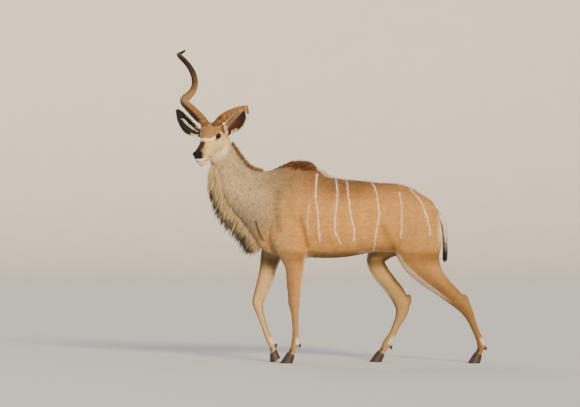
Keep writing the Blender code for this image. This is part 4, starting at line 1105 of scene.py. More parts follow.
def scatter(target, count, density, draw):
    """Random places on a mesh: place, normal, with more of them where density is high."""
    mesh = target.data
    mesh.calc_loop_triangles()
    corners = np.empty(len(mesh.loop_triangles) * 3, np.int32)
    mesh.loop_triangles.foreach_get("vertices", corners)
    corners = corners.reshape(-1, 3)
    points = points_of(target)
    a, b, c = (points[corners[:, i]] for i in range(3))
    area = np.linalg.norm(np.cross(b - a, c - a), axis=1) / 2
    weight = area * density((a + b + c) / 3)
    picked = draw.choice(len(area), size=count, p=weight / weight.sum())
    u, v = draw.random(count), draw.random(count)
    flip = u + v > 1
    u[flip], v[flip] = 1 - u[flip], 1 - v[flip]
    w = 1 - u - v
    first, second, third = corners[picked].T

    def inside(values):
        return values[first] * w[:, None] + values[second] * u[:, None] + values[third] * v[:, None]

    return inside(points), unit(inside(points_of(target, "normal")))


# Pieces

def fuse_skin(pieces, settings):
    """One closed skin over overlapping forms, thinned away from the face."""
    made = join(pieces, "skin")
    apply_modifier(made, "REMESH", mode="VOXEL", voxel_size=settings.voxel)
    body = made.vertex_groups.new(name="body")
    share = 1 - head_share(points_of(made))
    for level in range(11):
        index = np.flatnonzero(np.round(share * 10) == level)
        body.add(index.tolist(), level / 10, "REPLACE")
    apply_modifier(made, "SMOOTH", factor=0.5, iterations=4)
    apply_modifier(made, "SMOOTH", factor=0.5, iterations=14, vertex_group="body")
    triangles = sum(len(p.vertices) - 2 for p in made.data.polygons)
    apply_modifier(made, "DECIMATE", ratio=settings.triangles / triangles, vertex_group="body",
                   vertex_group_factor=1.0)
    made.vertex_groups.clear()
    return made


def keep_above_hooves(target):
    """Draws the skin's ends up to the coronets, where the hooves take over."""
    work = bmesh.new()
    work.from_mesh(target.data)
    for middle, slope, lift in FEET.values():
        angle = math.radians(slope - lift)
        axis = Vector((math.sin(angle), 0.0, math.cos(angle)))
        centre = Vector(middle) - axis * 0.004
        near = [v for v in work.verts if (v.co - centre).length < 0.16]
        low = [v for v in near if (v.co - centre).dot(axis) < 0]
        for vert in low:
            vert.co -= axis * (vert.co - centre).dot(axis)
            vert.co += (centre - vert.co) * 0.10
    bmesh.ops.remove_doubles(work, verts=work.verts, dist=0.0004)
    work.to_mesh(target.data)
    work.free()


def refine_face(target):
    """Halves the faces round eyes, nostrils and mouth, for what is pressed in there."""
    work = bmesh.new()
    work.from_mesh(target.data)
    bmesh.ops.triangulate(work, faces=work.faces[:])
    places = mirrored_places(np.array([v.co for v in work.verts]))
    eye = distance(places, (0.006, EYE_SPREAD, 0)) < 0.034
    nose = (places[:, 0] > 0.160) & (places[:, 2] > -0.13)
    wanted = eye | nose | (line_distance(places, MOUTH) < 0.012)
    edges = [e for e in work.edges if wanted[e.verts[0].index] and wanted[e.verts[1].index]]
    bmesh.ops.subdivide_edges(work, edges=edges, cuts=1, use_grid_fill=True)
    bmesh.ops.triangulate(work, faces=work.faces[:])
    work.to_mesh(target.data)
    work.free()


def press_face(target):
    """Moves the skin in at the mouth line, the nostrils, the tear groove and under the lids."""
    points, normals = points_of(target), points_of(target, "normal")
    mirrored = mirrored_places(points)
    move = np.zeros(len(points))
    for line, high, half in (
            # line, how far out it stands, half width
            (MOUTH, -0.0045, 0.0026),
            ([(x, y, z + 0.010) for x, y, z in MOUTH], 0.0018, 0.006),
            (NOSTRIL_SLIT, -0.0085, 0.0042),
            (TEAR_GROOVE, -0.0022, 0.0035)):
        move += high * np.exp(-(line_distance(mirrored, line) / half) ** 2)
    fold = distance(mirrored, (-0.002, EYE_SPREAD, 0.004))
    above = smoothstep(-0.002, 0.010, mirrored[:, 2])
    move -= 0.0018 * above * np.exp(-((fold - 0.0285) / 0.0022) ** 2)
    pad = smoothstep(0.210, 0.219, mirrored[:, 0])
    move += 0.0005 * pad * wobble(points, 700, 31)
    set_points(target, points + normals * move[:, None])


def open_eyes(target):
    """Draws the skin away from the front of each eye, so that the lids frame it."""
    points = points_of(target)
    away = head_places(points)
    for side in BOTH_SIDES:
        look, up, across = eye_axes(side)
        from_eye = away - np.array([0.0, side * EYE_SPREAD, 0.0])
        ahead = from_eye @ look
        high, wide = from_eye @ up, from_eye @ across
        oval = np.hypot(wide / 0.0172, (high - 0.0008) / 0.0112)
        inside = (oval < 1.0) & (ahead > 0)
        deep = smoothstep(1.0, 0.80, oval) * inside
        radius = np.linalg.norm(from_eye, axis=1)
        shrink = 1 - deep * np.clip(1 - (EYE_RADIUS - 0.004) / np.maximum(radius, 1e-6), 0, 1)
        away = away + from_eye * (shrink - 1)[:, None]
    moved = HEAD_CENTRE + away @ HEAD_AXES
    near = head_share(points) > 0.5
    points[near] = moved[near]
    set_points(target, points)


def lay_face_lines(target):
    """Lays the lines of the face marks onto the skin, in the head's frame."""
    tree = tree_over(target)
    for name, mark in HEAD_MARKS.items():
        laid = [tree.find_nearest(Vector(in_head(*place)))[0] for place in smooth_rows(mark[0], 5)]
        FACE_LINES[name] = head_places(np.array(laid))


class KUDU_OT_skin(bpy.types.Operator):
    """One skin over the whole animal, a coat's depth inside the solids, with its markings"""
    bl_idname = "kudu.skin"
    bl_label = "Skin"

    def execute(self, context):
        bpy.ops.object.select_all(action="DESELECT")
        tail_seat = limb("tail_seat", [(x, 0.0, z, a * 0.9, b * 0.9) for x, z, a, b in TAIL])
        pieces = [trunk(), limb("upper_neck", UPPER_NECK), tail_seat, *muscles(), *joints_of_bone(),
                  *skull(), *(limb(name, rows) for name, rows in LEGS.items())]
        made = fuse_skin(pieces, context.scene.kudu_skin)
        keep_above_hooves(made)
        points, normals = points_of(made), points_of(made, "normal")
        set_points(made, points - normals * coat_depth(points)[:, None])
        refine_face(made)
        press_face(made)
        open_eyes(made)
        face_out(made)
        lay_face_lines(made)
        smooth(made)
        paint(made, coat_colours(points_of(made), coat_tones()) * 0.90)
        made.data.materials.clear()
        made.data.materials.append(fur_material("short_fur_on_hide", 0.85, 0.9))
        finish_piece(made, FLESH)
        return {"FINISHED"}


def bare_places(points):
    """Zero where the skin carries no tufts: nose, lips, eyes, mouth and the seats of the hooves."""
    mirrored = mirrored_places(points)
    nose = smoothstep(0.222, 0.209, mirrored[:, 0])
    lips = smoothstep(0.003, 0.007, line_distance(mirrored, MOUTH))
    nostril = smoothstep(0.009, 0.014, distance(mirrored, NOSTRIL))
    eye = smoothstep(0.0205, 0.0235, distance(mirrored, (0.008, EYE_SPREAD + 0.004, 0)))
    horn = smoothstep(0.026, 0.032, distance(mirrored, (HORN_BASE[0], HORN_BASE[1], 0.055)))
    return np.where(head_share(points) > 0.5, nose * lips * nostril * eye * horn,
                    smoothstep(0.070, 0.085, points[:, 2]))


def tuft_size(points):
    """Length and half width of the tufts at each place, in shares of the flank's."""
    head, legs = head_share(points), leg_share(points)
    muzzle = smoothstep(0.02, 0.20, head_places(points)[:, 0]) * head
    length = 1 - 0.52 * head - 0.16 * muzzle - 0.45 * legs
    width = 1 - 0.50 * head - 0.18 * muzzle - 0.42 * legs
    return length, width


class KUDU_OT_coat(bpy.types.Operator):
    """Short tufts over the whole skin, lying along the body, with the skin's own markings"""
    bl_idname = "kudu.coat"
    bl_label = "Coat"

    def execute(self, context):
        coat, tone = context.scene.kudu_coat, coat_tones()
        skin = bpy.data.objects["skin"]
        raw = points_of(skin) + BODY_CENTRE
        set_points(skin, raw)
        draw = np.random.default_rng(2)

        def density(points):
            length, width = tuft_size(points)
            return bare_places(points) / (length * width) ** 0.75

        place, normal = scatter(skin, coat.tufts, density, draw)
        set_points(skin, raw - BODY_CENTRE)
        lie = lie_of_coat(place, normal)
        side = unit(np.cross(normal, lie))
        tilt = draw.normal(0, 0.10, len(place))[:, None]
        lie = unit(lie + side * tilt)
        side = unit(np.cross(normal, lie))
        long, wide = tuft_size(place)
        long = coat.length * long * draw.uniform(0.75, 1.25, len(place))
        wide = coat.width * wide * draw.uniform(0.8, 1.2, len(place))
        high = coat_depth(place) * draw.uniform(0.35, 0.95, len(place))
        root = place - normal * 0.0016 - lie * (long * 0.10)[:, None]
        middle = place + lie * (long * 0.42)[:, None] + normal * (high * 0.90)[:, None]
        tip = place + lie * long[:, None] + normal * (high * 0.80)[:, None]
        spines = np.stack([root, middle, tip], axis=1)
        widths = np.stack([wide * 0.8, wide], axis=1)
        shade = draw.normal(1.0, 0.055, len(place))
        grey = 0.06 + 0.18 * neck_share(place) + 0.07 * smoothstep(1.05, 1.25, place[:, 2])
        shade = np.where(draw.random(len(place)) < grey, shade * 0.66, shade)[:, None, None]
        blend = place[:, None, :] * 0.45 + spines * 0.55
        colours = coat_colours(blend.reshape(-1, 3), tone).reshape(len(place), 3, 3) * shade
        colours *= np.array([0.88, 0.98, 1.03])[:, None]    # darker at the roots
        finish = fur_material("short_fur", 0.8, 0.35)
        order = np.argsort(unwrapped(place)[:, 0] + 2 * (head_share(place) > 0.5))
        for number, start in enumerate(range(0, len(order), PIECE_TUFTS)):
            some = order[start:start + PIECE_TUFTS]
            made = blades(f"coat_{number + 1}", spines[some], side[some], widths[some], FUR_RIDGE,
                          colours[some], unwrapped(place[some]), finish, normal[some])
            finish_piece(made)
        self.stripes(skin, draw, tone, finish)
        return {"FINISHED"}

    def stripes(self, skin, draw, tone, finish):
        """White tufts laid close along each stripe, on both flanks."""
        tree = tree_over(skin, BODY_CENTRE)
        hits = []
        for *line, strength in STRIPES:
            rows = [(x, 0.0, z) for x, z in line]
            for side in BOTH_SIDES:
                count = int(1100 * abs(line[0][1] - line[-1][1]))
                spots = sample_line(rows, count, draw)[0]
                spots[:, 0] += 0.0022 * wobble(spots, *STRIPE_EDGE) + draw.normal(0, 0.0010, count)
                for x, _, z in spots:
                    spot, facing, *_ = tree.ray_cast(Vector((x, side * 0.6, z)), Vector((0, -side, 0)))
                    if spot:
                        hits.append((spot, facing, strength))
        place, normal, strength = (np.array(values) for values in zip(*hits))
        lie = lie_of_coat(place, normal)
        lie = unit(lie + np.cross(normal, lie) * draw.normal(0, 0.14, len(place))[:, None])
        side = unit(np.cross(normal, lie))
        long = draw.uniform(0.0055, 0.0085, len(place))[:, None]
        high = coat_depth(place)[:, None] * draw.uniform(0.75, 1.05, len(place))[:, None]
        tip = place + lie * long * 0.55 + normal * high * 0.95
        spines = np.stack([place - lie * long * 0.45, place + normal * high, tip], axis=1)
        widths = np.tile([0.0009, 0.0012], (len(place), 1))
        shade = draw.normal(1.0, 0.05, len(place))[:, None]
        colour = mix(body_colours(place, tone), tone["white"], strength) * shade
        made = blades("stripes", spines, side, widths, FUR_RIDGE,
                      np.repeat(colour[:, None], 3, axis=1), unwrapped(place), finish, normal)
        finish_piece(made)


def hanging(roots, headings, lengths, widths, sag, draw, stations=LOCK_STATIONS):
    """Spines of long locks that leave their roots along headings and give way to their weight."""
    count = len(roots)
    spines = np.zeros((count, stations, 3))
    spines[:, 0] = roots
    heading = unit(headings)
    step = (lengths / (stations - 1))[:, None]
    turn = draw.normal(0, 0.10, (count, 3))
    for k in range(1, stations):
        spines[:, k] = spines[:, k - 1] + heading * step
        heading = unit(heading + (np.asarray(sag) + turn * math.sin(2.4 * k)) / (stations - 1))
    profile = np.array([0.75, 1.0, 1.0, 0.85, 0.55])[:stations - 1]
    return spines, widths[:, None] * profile[None]


def sample_line(rows, count, draw):
    """Places read at random along a smooth line of rows, evenly by length."""
    dense = smooth_rows(rows, 12)
    steps = np.linalg.norm(np.diff(dense[:, :3], axis=0), axis=1)
    far = np.concatenate([[0], np.cumsum(steps)])
    at = draw.uniform(0, far[-1], count)
    return np.stack([np.interp(at, far, column) for column in dense.T], axis=1), at / far[-1]


def lock_piece(name, spines, sides, widths, colours):
    made = blades(name, spines, sides, widths, LOCK_RIDGE, colours, unwrapped(spines[:, 0]),
                  long_hair())
    finish_piece(made)


def blend_along(first, last, start, end, strength=1.0):
    """Colours from first at the root to last at the tip, turning between start and end."""
    share = smoothstep(start, end, np.linspace(0, 1, LOCK_STATIONS)) * np.reshape(strength, (-1, 1))
    return mix(first[:, None, :], last[:, None, :], share)


class KUDU_OT_throat_fringe(bpy.types.Operator):
    """The long fringe that hangs from the throat to the brisket, cream with dark tips"""
    bl_idname = "kudu.throat_fringe"
    bl_label = "Throat fringe"

    def execute(self, context):
        draw, tone = np.random.default_rng(41), coat_tones()
        count = 4200
        rows, at = sample_line(THROAT, count, draw)
        across = draw.normal(0, 0.011, count)
        front = draw.random(count)
        root = rows[:, :3] + np.array([0.046, 0.0, 0.010]) + np.stack(
            [-0.050 * front, across, draw.uniform(-0.02, 0.02, count)], axis=1)
        heading = np.stack([-0.30 - 0.25 * front, across * 8, np.full(count, -0.90)], axis=1)
        heading += draw.normal(0, 0.06, (count, 3))
        long = (rows[:, 3] + 0.030) * draw.uniform(0.60, 1.06, count) * (0.72 + 0.28 * front)
        wide = draw.uniform(0.0014, 0.0028, count)
        spines, widths = hanging(root, heading, long, wide, (0.10, 0.0, -0.35), draw)
        side = unit(np.cross((0, 1.0, 0), heading))
        base = mix(linear("ffe4aa"), linear("b98a50"), np.clip(draw.normal(0.05, 0.22, count), 0, 1))
        dark = np.tile(tone["black"], (count, 1))
        outer = front + draw.normal(0, 0.10, count)
        strength = smoothstep(0.62, 0.90, outer + 0.22 * at) * smoothstep(0.03, 0.22, at)
        lock_piece("throat_fringe", spines, side, widths, blend_along(base, dark, 0.30, 0.72, strength))
        return {"FINISHED"}


class KUDU_OT_back_mane(bpy.types.Operator):
    """The brown mane on the withers, the short one on the nape and the white line of the spine"""
    bl_idname = "kudu.back_mane"
    bl_label = "Back mane"

    def execute(self, context):
        white = coat_tones()["white"]
        tree = tree_over(bpy.data.objects["skin"], BODY_CENTRE)
        plans = [
            # name, line, locks, spread, heading, sag, root and tip colour, sunk, spread of shade, seed
            ("withers_mane", CREST, 2600, 0.012, (0.60, 0, 0.78), (0.80, 0, -0.55),
             linear("30190a"), linear("8d5526"), 0.012, 0.28, 5),
            ("nape_mane", NAPE, 900, 0.010, (0.42, 0.0, 0.62), (0.50, 0, -0.60),
             linear("755130"), linear("aa7f50"), 0.008, 0.28, 6),
            ("spine_line", SPINE, 2000, 0.005, (0.93, 0, 0.36), (0.2, 0, -0.22),
             white, white, 0.003, 0.06, 7),
        ]
        for name, line, count, spread, heading, sag, low, high, sunk, uneven, seed in plans:
            draw = np.random.default_rng(seed)
            rows = sample_line(line, count, draw)[0]
            across = draw.normal(0, spread, count)
            drop = -2.2 * abs(across) ** 1.2 - sunk
            root = rows[:, :3] + np.stack([np.zeros(count), across, drop], axis=1)
            if line is SPINE:
                for place in root:
                    hit = tree.ray_cast(Vector((place[0], place[1], 1.6)), Vector((0, 0, -1)))[0]
                    place[2] = hit[2] - sunk if hit else place[2]
            way = np.array(heading) + draw.normal(0, 0.12, (count, 3))
            way[:, 1] += across * 14
            long = (rows[:, 3] + sunk) * draw.uniform(0.50, 1.12, count) ** 0.8
            wide = draw.uniform(0.0016, 0.0032, count)
            spines, widths = hanging(root, way, long, wide, sag, draw)
            side = unit(np.cross((0, 1.0, 0), way))
            shade = draw.normal(1.0, uneven, count)[:, None]
            lock_piece(name, spines, side, widths, blend_along(low * shade, high * shade, 0.2, 1.0))
        return {"FINISHED"}


class KUDU_OT_tail(bpy.types.Operator):
    """The tail's hair: fawn above, white at its edges and black at the tip"""
    bl_idname = "kudu.tail"
    bl_label = "Tail"

    def execute(self, context):
        draw, tone = np.random.default_rng(51), coat_tones()
        count = 1700
        rows, at = sample_line([(x, 0.0, z, a, b) for x, z, a, b in TAIL], count, draw)
        angle = draw.uniform(0, FULL_TURN, count)
        ahead, across, level = np.cos(angle), np.sin(angle), np.zeros(count)
        seat = np.stack([ahead * rows[:, 3] * 0.8, across * rows[:, 4] * 0.8, level], axis=1)
        root = rows[:, :3] + seat
        way = np.stack([0.02 + 0.10 * ahead, 0.22 * across, level - 0.98], axis=1)
        long = (0.030 + 0.075 * smoothstep(0.35, 0.85, at)) * draw.uniform(0.75, 1.15, count)
        wide = draw.uniform(0.0022, 0.0040, count)
        spines, widths = hanging(root, way, long, wide, (-0.10, 0, -0.30), draw)
        side = unit(np.cross(np.stack([ahead, across, level], axis=1), way))
        black = linear("1d1613")
        base = mix(linear("a87f54"), tone["white"], smoothstep(0.62, 0.95, abs(across)))
        base = mix(base, black, smoothstep(0.70, 0.86, at))
        tips = mix(base, black, smoothstep(0.50, 0.72, at))
        lock_piece("tail_hair", spines, side, widths, blend_along(base, tips, 0.4, 1.0))
        return {"FINISHED"}


def ear_surface(name, share, turn, inner):
    """A place on the cupped ear and the direction that leaves it there."""
    root, axis, face, sweep, spread = EARS[name]
    axis = unit(axis)
    face = unit(np.array(face) - axis * np.dot(face, axis))
    across = np.cross(axis, face)
    table = np.array(EAR_SECTIONS)
    half, wrap, curve = (np.interp(share, table[:, 0], table[:, i]) for i in (1, 2, 3))
    wrap = np.radians(wrap)
    radius = half / np.sin(np.minimum(wrap, math.pi / 2))
    bow = sweep * np.sin(math.pi * share ** 0.8)
    spine = (in_head(*root) + axis * EAR_LENGTH * share[:, None] + face * (curve + radius)[:, None]
             + across * bow[:, None])
    angle = turn * wrap
    spoke = across * np.sin(angle)[:, None] - face * np.cos(angle)[:, None]
    wall = radius - np.where(inner, 0.0032 * (1 - 0.5 * share), 0.0)
    fold = spread * smoothstep(-0.35, -1.0, turn) * np.sin(math.pi * np.clip(share, 0, 1)) ** 0.8
    place = spine + spoke * wall[:, None] - across * fold[:, None]
    return place, np.where(inner[:, None], -spoke, spoke), axis


def ear_shell(name, finish):
    """The ear's own skin: a cupped leaf with a rounded rim, wrapped into a tube at its root."""
    turns = np.linspace(-1, 1, EAR_ROUND)
    rings = []
    for share in smooth_rows(EAR_SECTIONS, 6)[:, 0]:
        outer, inner = (ear_surface(name, np.full(EAR_ROUND, share), turns, np.full(EAR_ROUND, face))[0]
                        for face in (False, True))
        rings.append([*outer, *inner[::-1]])
    made = loft(name.replace("ear", "ear_skin"), rings, finish, folded=True)
    smooth(made)
    return made


class KUDU_OT_ears(bpy.types.Operator):
    """Two cupped ears, dark inside with a white rim, fawn outside, each with its hair"""
    bl_idname = "kudu.ears"
    bl_label = "Ears"

    def execute(self, context):
        tone = coat_tones()
        skin = fur_material("ear_skin", 0.75, 0.4)
        outside = np.array(linear("9a7d58"))
        for seed, name in enumerate(EARS):
            made = ear_shell(name, skin)
            points = points_of(made)
            base = in_head(*EARS[name][0])
            axis = unit(EARS[name][1])
            share = np.clip((points - base) @ axis / EAR_LENGTH, 0, 1)
            ring = np.arange(len(points)) % (2 * EAR_ROUND)
            turn = np.where(ring < EAR_ROUND, ring, 2 * EAR_ROUND - 1 - ring) / 12.0 - 1
            # The far ear's darker inside is painted shade.
            dark, red, fold, white_edge = EAR_INSIDE_AND_SHADE[name]
            dark = np.array(linear(dark))
            warm = np.exp(-((turn - 0.05) / 0.42) ** 2) * smoothstep(0.85, 0.45, share)
            inner = mix(dark, linear(red), warm)
            inner = mix(inner, outside * 1.3, fold * smoothstep(-0.10, -0.34, turn) * (share > 0))
            colour = np.where((ring < EAR_ROUND)[:, None], outside, inner)
            rim = smoothstep(0.80, 0.92, turn * white_edge) + 0.35 * smoothstep(0.90, 0.98, abs(turn))
            paint(made, mix(colour, tone["white"], np.clip(rim, 0, 1) * smoothstep(0.1, 0.3, share)))
            finish_piece(made, (name,))
            self.hair(name, np.random.default_rng(60 + seed), tone["white"], outside, dark, white_edge)
        return {"FINISHED"}

    def hair(self, name, draw, white, outside, dark, white_edge):
        """The hair of one ear: its back, its lining, the white rim and what stands in its cup."""
        if name == "ear_left":
            lining = ("lining", 500, True, -0.10, 0.80, 0.22, 0.90, 0.016, dark * 2.2, 0.03)
            cup = ("inner_fold", 900, True, -0.97, -0.24, 0.12, 0.92, 0.012, outside * 1.35, 0.16)
        else:
            # The far ear's lining takes its painted shade.
            lining = ("lining", 600, True, -0.80, 0.80, 0.22, 0.90, 0.012, dark * 1.3, 0.10)
            cup = ("streak", 150, True, 0.10, 0.22, 0.24, 0.70, 0.030, white, 0.30)
        plans = [
            # kind, locks, inner side, turn from and to, share from and to, length, colour, outwards
            ("back", 1700, False, -0.98, 0.98, 0.10, 0.97, 0.014, outside, 0.16),
            lining,
            ("rim", 1300, True, 0.84, 1.00, 0.16, 0.98, 0.013, white, 0.25),
            ("fold", 260, True, 0.80, 0.98, 0.14, 0.34, 0.026, white, 0.40),
            cup,
        ]
        stations = 4
        parts = []
        for kind, count, inner, low, high, first, last, length, colour, stand in plans:
            share = draw.uniform(first, last, count)
            turn = draw.uniform(low, high, count)
            if kind in ("rim", "fold"):
                turn *= np.where(draw.random(count) < 0.78, white_edge, -white_edge)
            place, out, axis = ear_surface(name, share, turn, np.full(count, inner))
            inwards = unit(np.cross(out, axis)) * np.sign(turn)[:, None] * (1 if inner else -1)
            way = axis + out * stand + draw.normal(0, 0.10, (count, 3))
            way = way + inwards * {"rim": -0.35, "fold": 0.30}.get(kind, 0.0)
            long = length * draw.uniform(0.7, 1.2, count)
            if kind == "back":
                long = long * (1 - 0.6 * share)
            wide = draw.uniform(0.0012, 0.0022, count)
            spines, widths = hanging(place - out * 0.001, way, long, wide, (0, 0, -0.05), draw, stations)
            side = unit(np.cross(out, way))
            colours = colour * draw.normal(1.0, 0.09, count)[:, None]
            if kind == "back":
                colours = mix(colours, white, smoothstep(0.86, 0.98, abs(turn)))
            colours = np.repeat(colours[:, None, :], stations, axis=1)
            parts.append((spines, side, widths, colours, np.stack([share, turn * 0.5 + 0.5], axis=1)))
        spines, side, widths, colours, places = (np.concatenate(group) for group in zip(*parts))
        corner = 0.03 if name == "ear_left" else 0.53
        places = np.stack([corner + places[:, 0] * 0.44, 0.03 + places[:, 1] * 0.94], axis=1)
        made = blades(name.replace("ear", "ear_hair"), spines, side, widths, LOCK_RIDGE, colours,
                      places, long_hair())
        finish_piece(made)


def horn_path(side, steps):
    """Points of a corkscrew that leans back and spreads; side -1 is the animal's right."""
    share = np.linspace(0, 1, steps)
    turn = HORN_PHASE + HORN_TURN * share * (0.80 + 0.20 * share)
    rise = HORN_RISE * share * (1.19 - 0.19 * share)
    spread = HORN_SPREAD * (1 - np.exp(-1.97 * share)) + HORN_FLARE * share
    coil = HORN_COIL * (1 + 0.24 * share - 0.57 * share ** 2)
    out = spread + coil * np.sin(turn)
    back = rise * math.tan(HORN_LEAN) - coil * math.cos(HORN_LEAN) * np.cos(turn)
    up = rise + coil * math.sin(HORN_LEAN) * np.cos(turn)
    out, back, up = out - out[0], back - back[0], up - up[0]
    if side > 0:
        droop = LEFT_DROOP * share / 0.2
        back, up = (back * np.cos(droop) + up * np.sin(droop),
                    up * np.cos(droop) - back * np.sin(droop))
    backward = np.array([math.sin(HEAD_YAW), math.cos(HEAD_YAW), 0.0])
    base = in_head(HORN_BASE[0], side * HORN_BASE[1], HORN_BASE[2])
    return (base + np.outer(out, LEFT * side) + np.outer(back, backward)
            + np.outer(up, np.array([0, 0, 1.0])))


def growth_wave(share, angle, rings):
    """Where a place lies in the run of growth rings, which are never quite level."""
    return share * rings + 0.25 * np.cos(angle) + 0.3 * np.sin(share * 61)


def horn_rings(side, end, steps):
    """Rings of one horn with keel and growth rings, each with its share and angles."""
    horn = bpy.context.scene.kudu_horn
    dense = horn_path(side, 481)
    along = unit(np.gradient(dense, axis=0))
    far = np.concatenate([[0], np.cumsum(np.linalg.norm(np.diff(dense, axis=0), axis=1))])
    share_of = far / far[-1]
    skull_up = unit(along_head(-0.25, 0, 1))
    for i in np.flatnonzero(share_of < HORN_BEND):
        along[i] = unit(mix(skull_up, along[i], share_of[i] / HORN_BEND))
    keel = unit(np.cross(along[0], along_head(1, 0, 0)))
    keels = []
    for step in along:
        keel = unit(keel - step * np.dot(keel, step))
        keels.append(keel)
    rings, shares = [], [-HORN_ROOT, *np.linspace(0, end, steps)]
    angles = np.linspace(0, FULL_TURN, HORN_ROUND, endpoint=False)
    ridge = np.exp(-((angles - math.pi) / 0.42) ** 2)
    for share in shares:
        sunk = skull_up * HORN_ROOT if share < 0 else 0.0
        share = max(share, 0.0)
        i = min(int(np.searchsorted(share_of, share)), len(dense) - 1)
        other = np.cross(along[i], keels[i])
        blunt = math.sqrt(1 - (max(0.0, share - HORN_TIP) / (1.001 - HORN_TIP)) ** 2)
        thick = horn.thickness * blunt * (1 - 0.76 * share ** 2.6) * (1 + 0.08 * math.exp(-share * 30))
        worn = max(0.0, 1 - share * 1.35)
        wave = growth_wave(share, angles, horn.rings)
        ripple = 1 + 0.055 * worn * (abs(np.sin(wave * math.pi)) ** 0.6 - 0.6)
        size = thick * ripple * (1 + 0.22 * ridge * min(1.0, share * 12))
        turned = angles + share * math.radians(300.0) * -side
        rings.append(dense[i] - sunk + (np.outer(np.cos(turned) * 1.03 * size, keels[i])
                                        + np.outer(np.sin(turned) * 0.94 * size, other)))
    return np.array(rings), np.maximum(shares, 0.0), angles


def horn_colours(horn, share, angle, out):
    """Rusty faces, dark grooves between the growth rings, painted shadow along the keel and a dark tip.

    The side that faces forward and down is darkened near black as painted shade.
    """
    wave = growth_wave(share, angle, horn.rings)
    groove = (1 - abs(np.sin(wave * math.pi))) ** 2 * np.clip(1 - share * 1.3, 0, 1)
    keel = np.exp(-((angle - math.pi) / 0.80) ** 2)
    shade = smoothstep(0.20, 0.62, out @ unit((-0.88, -0.10, -0.46))) * smoothstep(0.0, 0.06, share)
    return layered(
        np.tile(horn.pale, (len(share), 1)),
        (linear("b08550"), smoothstep(0.05, 0.30, share)),
        (linear("3e2a16"), smoothstep(0.40, 0.75, share)),
        (horn.deep, 0.55 * groove),
        # Painted shadow along the keel, and painted shade on the side that faces forward and down.
        (horn.deep, np.maximum(0.70 * keel, 0.92 * shade)),
        (linear("1f1812"), 0.7 * smoothstep(0.90, 0.98, share)),
        (linear("3a2a20"), 0.5 * smoothstep(0.03, 0.0, share)))


def horn_piece(name, rings, shares, angles, finish, node):
    made = loft(name, rings, finish)
    smooth(made)
    share, angle = np.repeat(shares, len(angles)), np.tile(angles, len(shares))
    out = unit(rings - rings.mean(axis=1)[:, None]).reshape(-1, 3)
    colours = horn_colours(bpy.context.scene.kudu_horn, share, angle, out)
    growth = np.stack([share, np.cos(angle), np.sin(angle)], axis=1)
    spare = len(made.data.vertices) - len(share)        # the middles of the two ends
    colours, growth = (np.vstack([rows, np.tile(rows[-1], (spare, 1))]) for rows in (colours, growth))
    paint(made, colours)
    layer = made.data.attributes.new("growth", "FLOAT_VECTOR", "POINT")
    layer.data.foreach_set("vector", growth.astype(np.float32).ravel())
    finish_piece(made, (node,))


class KUDU_OT_horns(bpy.types.Operator):
    """The whole right horn and the left one, which ends in a splintered stump"""
    bl_idname = "kudu.horns"
    bl_label = "Horns"

    def execute(self, context):
        finish = horn_material()
        rings, shares, angles = horn_rings(-1, 1.0, 380)
        horn_piece("horn_whole", rings, shares, angles, finish, "horn_right")
        rings, shares, angles = horn_rings(1, BROKEN_AT, 110)
        draw = np.random.default_rng(5)
        step = unit(rings[-1].mean(axis=0) - rings[-2].mean(axis=0))
        jag = 0.006 + 0.016 * np.cos(angles - 1.9) + draw.uniform(-0.005, 0.005, len(angles))
        last = rings[-1] + jag[:, None] * step
        middle = last.mean(axis=0)
        inner = [middle + (last - middle) * part - step * deep
                 for part, deep in ((0.86, 0.004), (0.66, 0.015), (0.40, 0.024), (0.15, 0.028))]
        rings = np.concatenate([rings[:-1], [last], inner])
        shares = np.concatenate([shares, [1.0] * len(inner)])
        horn_piece("horn_stump", rings, shares, angles, finish, "horn_left")
        return {"FINISHED"}


class KUDU_OT_eyes(bpy.types.Operator):
    """Two wet dark eyes with a level pupil, each with upper lashes"""
    bl_idname = "kudu.eyes"
    bl_label = "Eyes"

    def execute(self, context):
        finish = eye_material()
        for name, side in (("left", 1), ("right", -1)):
            look, up, across = eye_axes(side)
            bpy.ops.object.select_all(action="DESELECT")
            bpy.ops.mesh.primitive_uv_sphere_add(segments=64, ring_count=40, radius=EYE_RADIUS)
            made = bpy.context.object
            made.name = made.data.name = f"eyeball_{name}"
            away = points_of(made)
            ahead = away @ look / EYE_RADIUS
            away = away * (1 + 0.035 * smoothstep(0.80, 0.95, ahead))[:, None]
            high, wide = away @ up / EYE_RADIUS, away @ across / EYE_RADIUS
            iris = smoothstep(0.62, 0.52, np.hypot(wide * 0.9, high)) * (ahead > 0)
            pupil = smoothstep(1.1, 0.9, np.hypot(wide / 0.34, high / 0.17)) * (ahead > 0)
            colour = layered(np.tile(linear("120c09"), (len(away), 1)), (linear("1f120b"), iris),
                             (linear("070505"), pupil))
            centre = in_head(0.0, side * EYE_SPREAD, 0.0)
            set_points(made, centre + away @ HEAD_AXES)
            paint(made, colour)
            made.data.materials.append(finish)
            smooth(made)
            finish_piece(made, (f"eye_{name}",))
            self.lashes(name, side)
        return {"FINISHED"}

    def lashes(self, name, side):
        """A row of black lashes on the upper lid."""
        draw = np.random.default_rng(80 + side)
        look, up, across = eye_axes(side)
        count = 110
        turn = draw.uniform(0.15 * math.pi, 0.88 * math.pi, count)
        centre = np.array([0.0, side * EYE_SPREAD, 0.0]) + look * 0.0115
        wide, high = np.cos(turn)[:, None], np.sin(turn)[:, None]
        root = centre + across * (0.0185 * wide) + up * (0.0125 * high) - look * (0.005 * wide ** 2)
        way = look * 0.85 + across * (0.45 * wide) + up * 0.30
        root, way = HEAD_CENTRE + root @ HEAD_AXES, way @ HEAD_AXES
        spines, widths = hanging(root, way + draw.normal(0, 0.06, root.shape),
                                 draw.uniform(0.009, 0.014, count), np.full(count, 0.00055),
                                 (0, 0, -0.5), draw, 4)
        colour = np.tile(linear("14100e"), (count, 4, 1))
        sides = np.tile(unit(across @ HEAD_AXES), (count, 1))
        lock_piece(f"lashes_{name}", spines, sides, widths, colour)


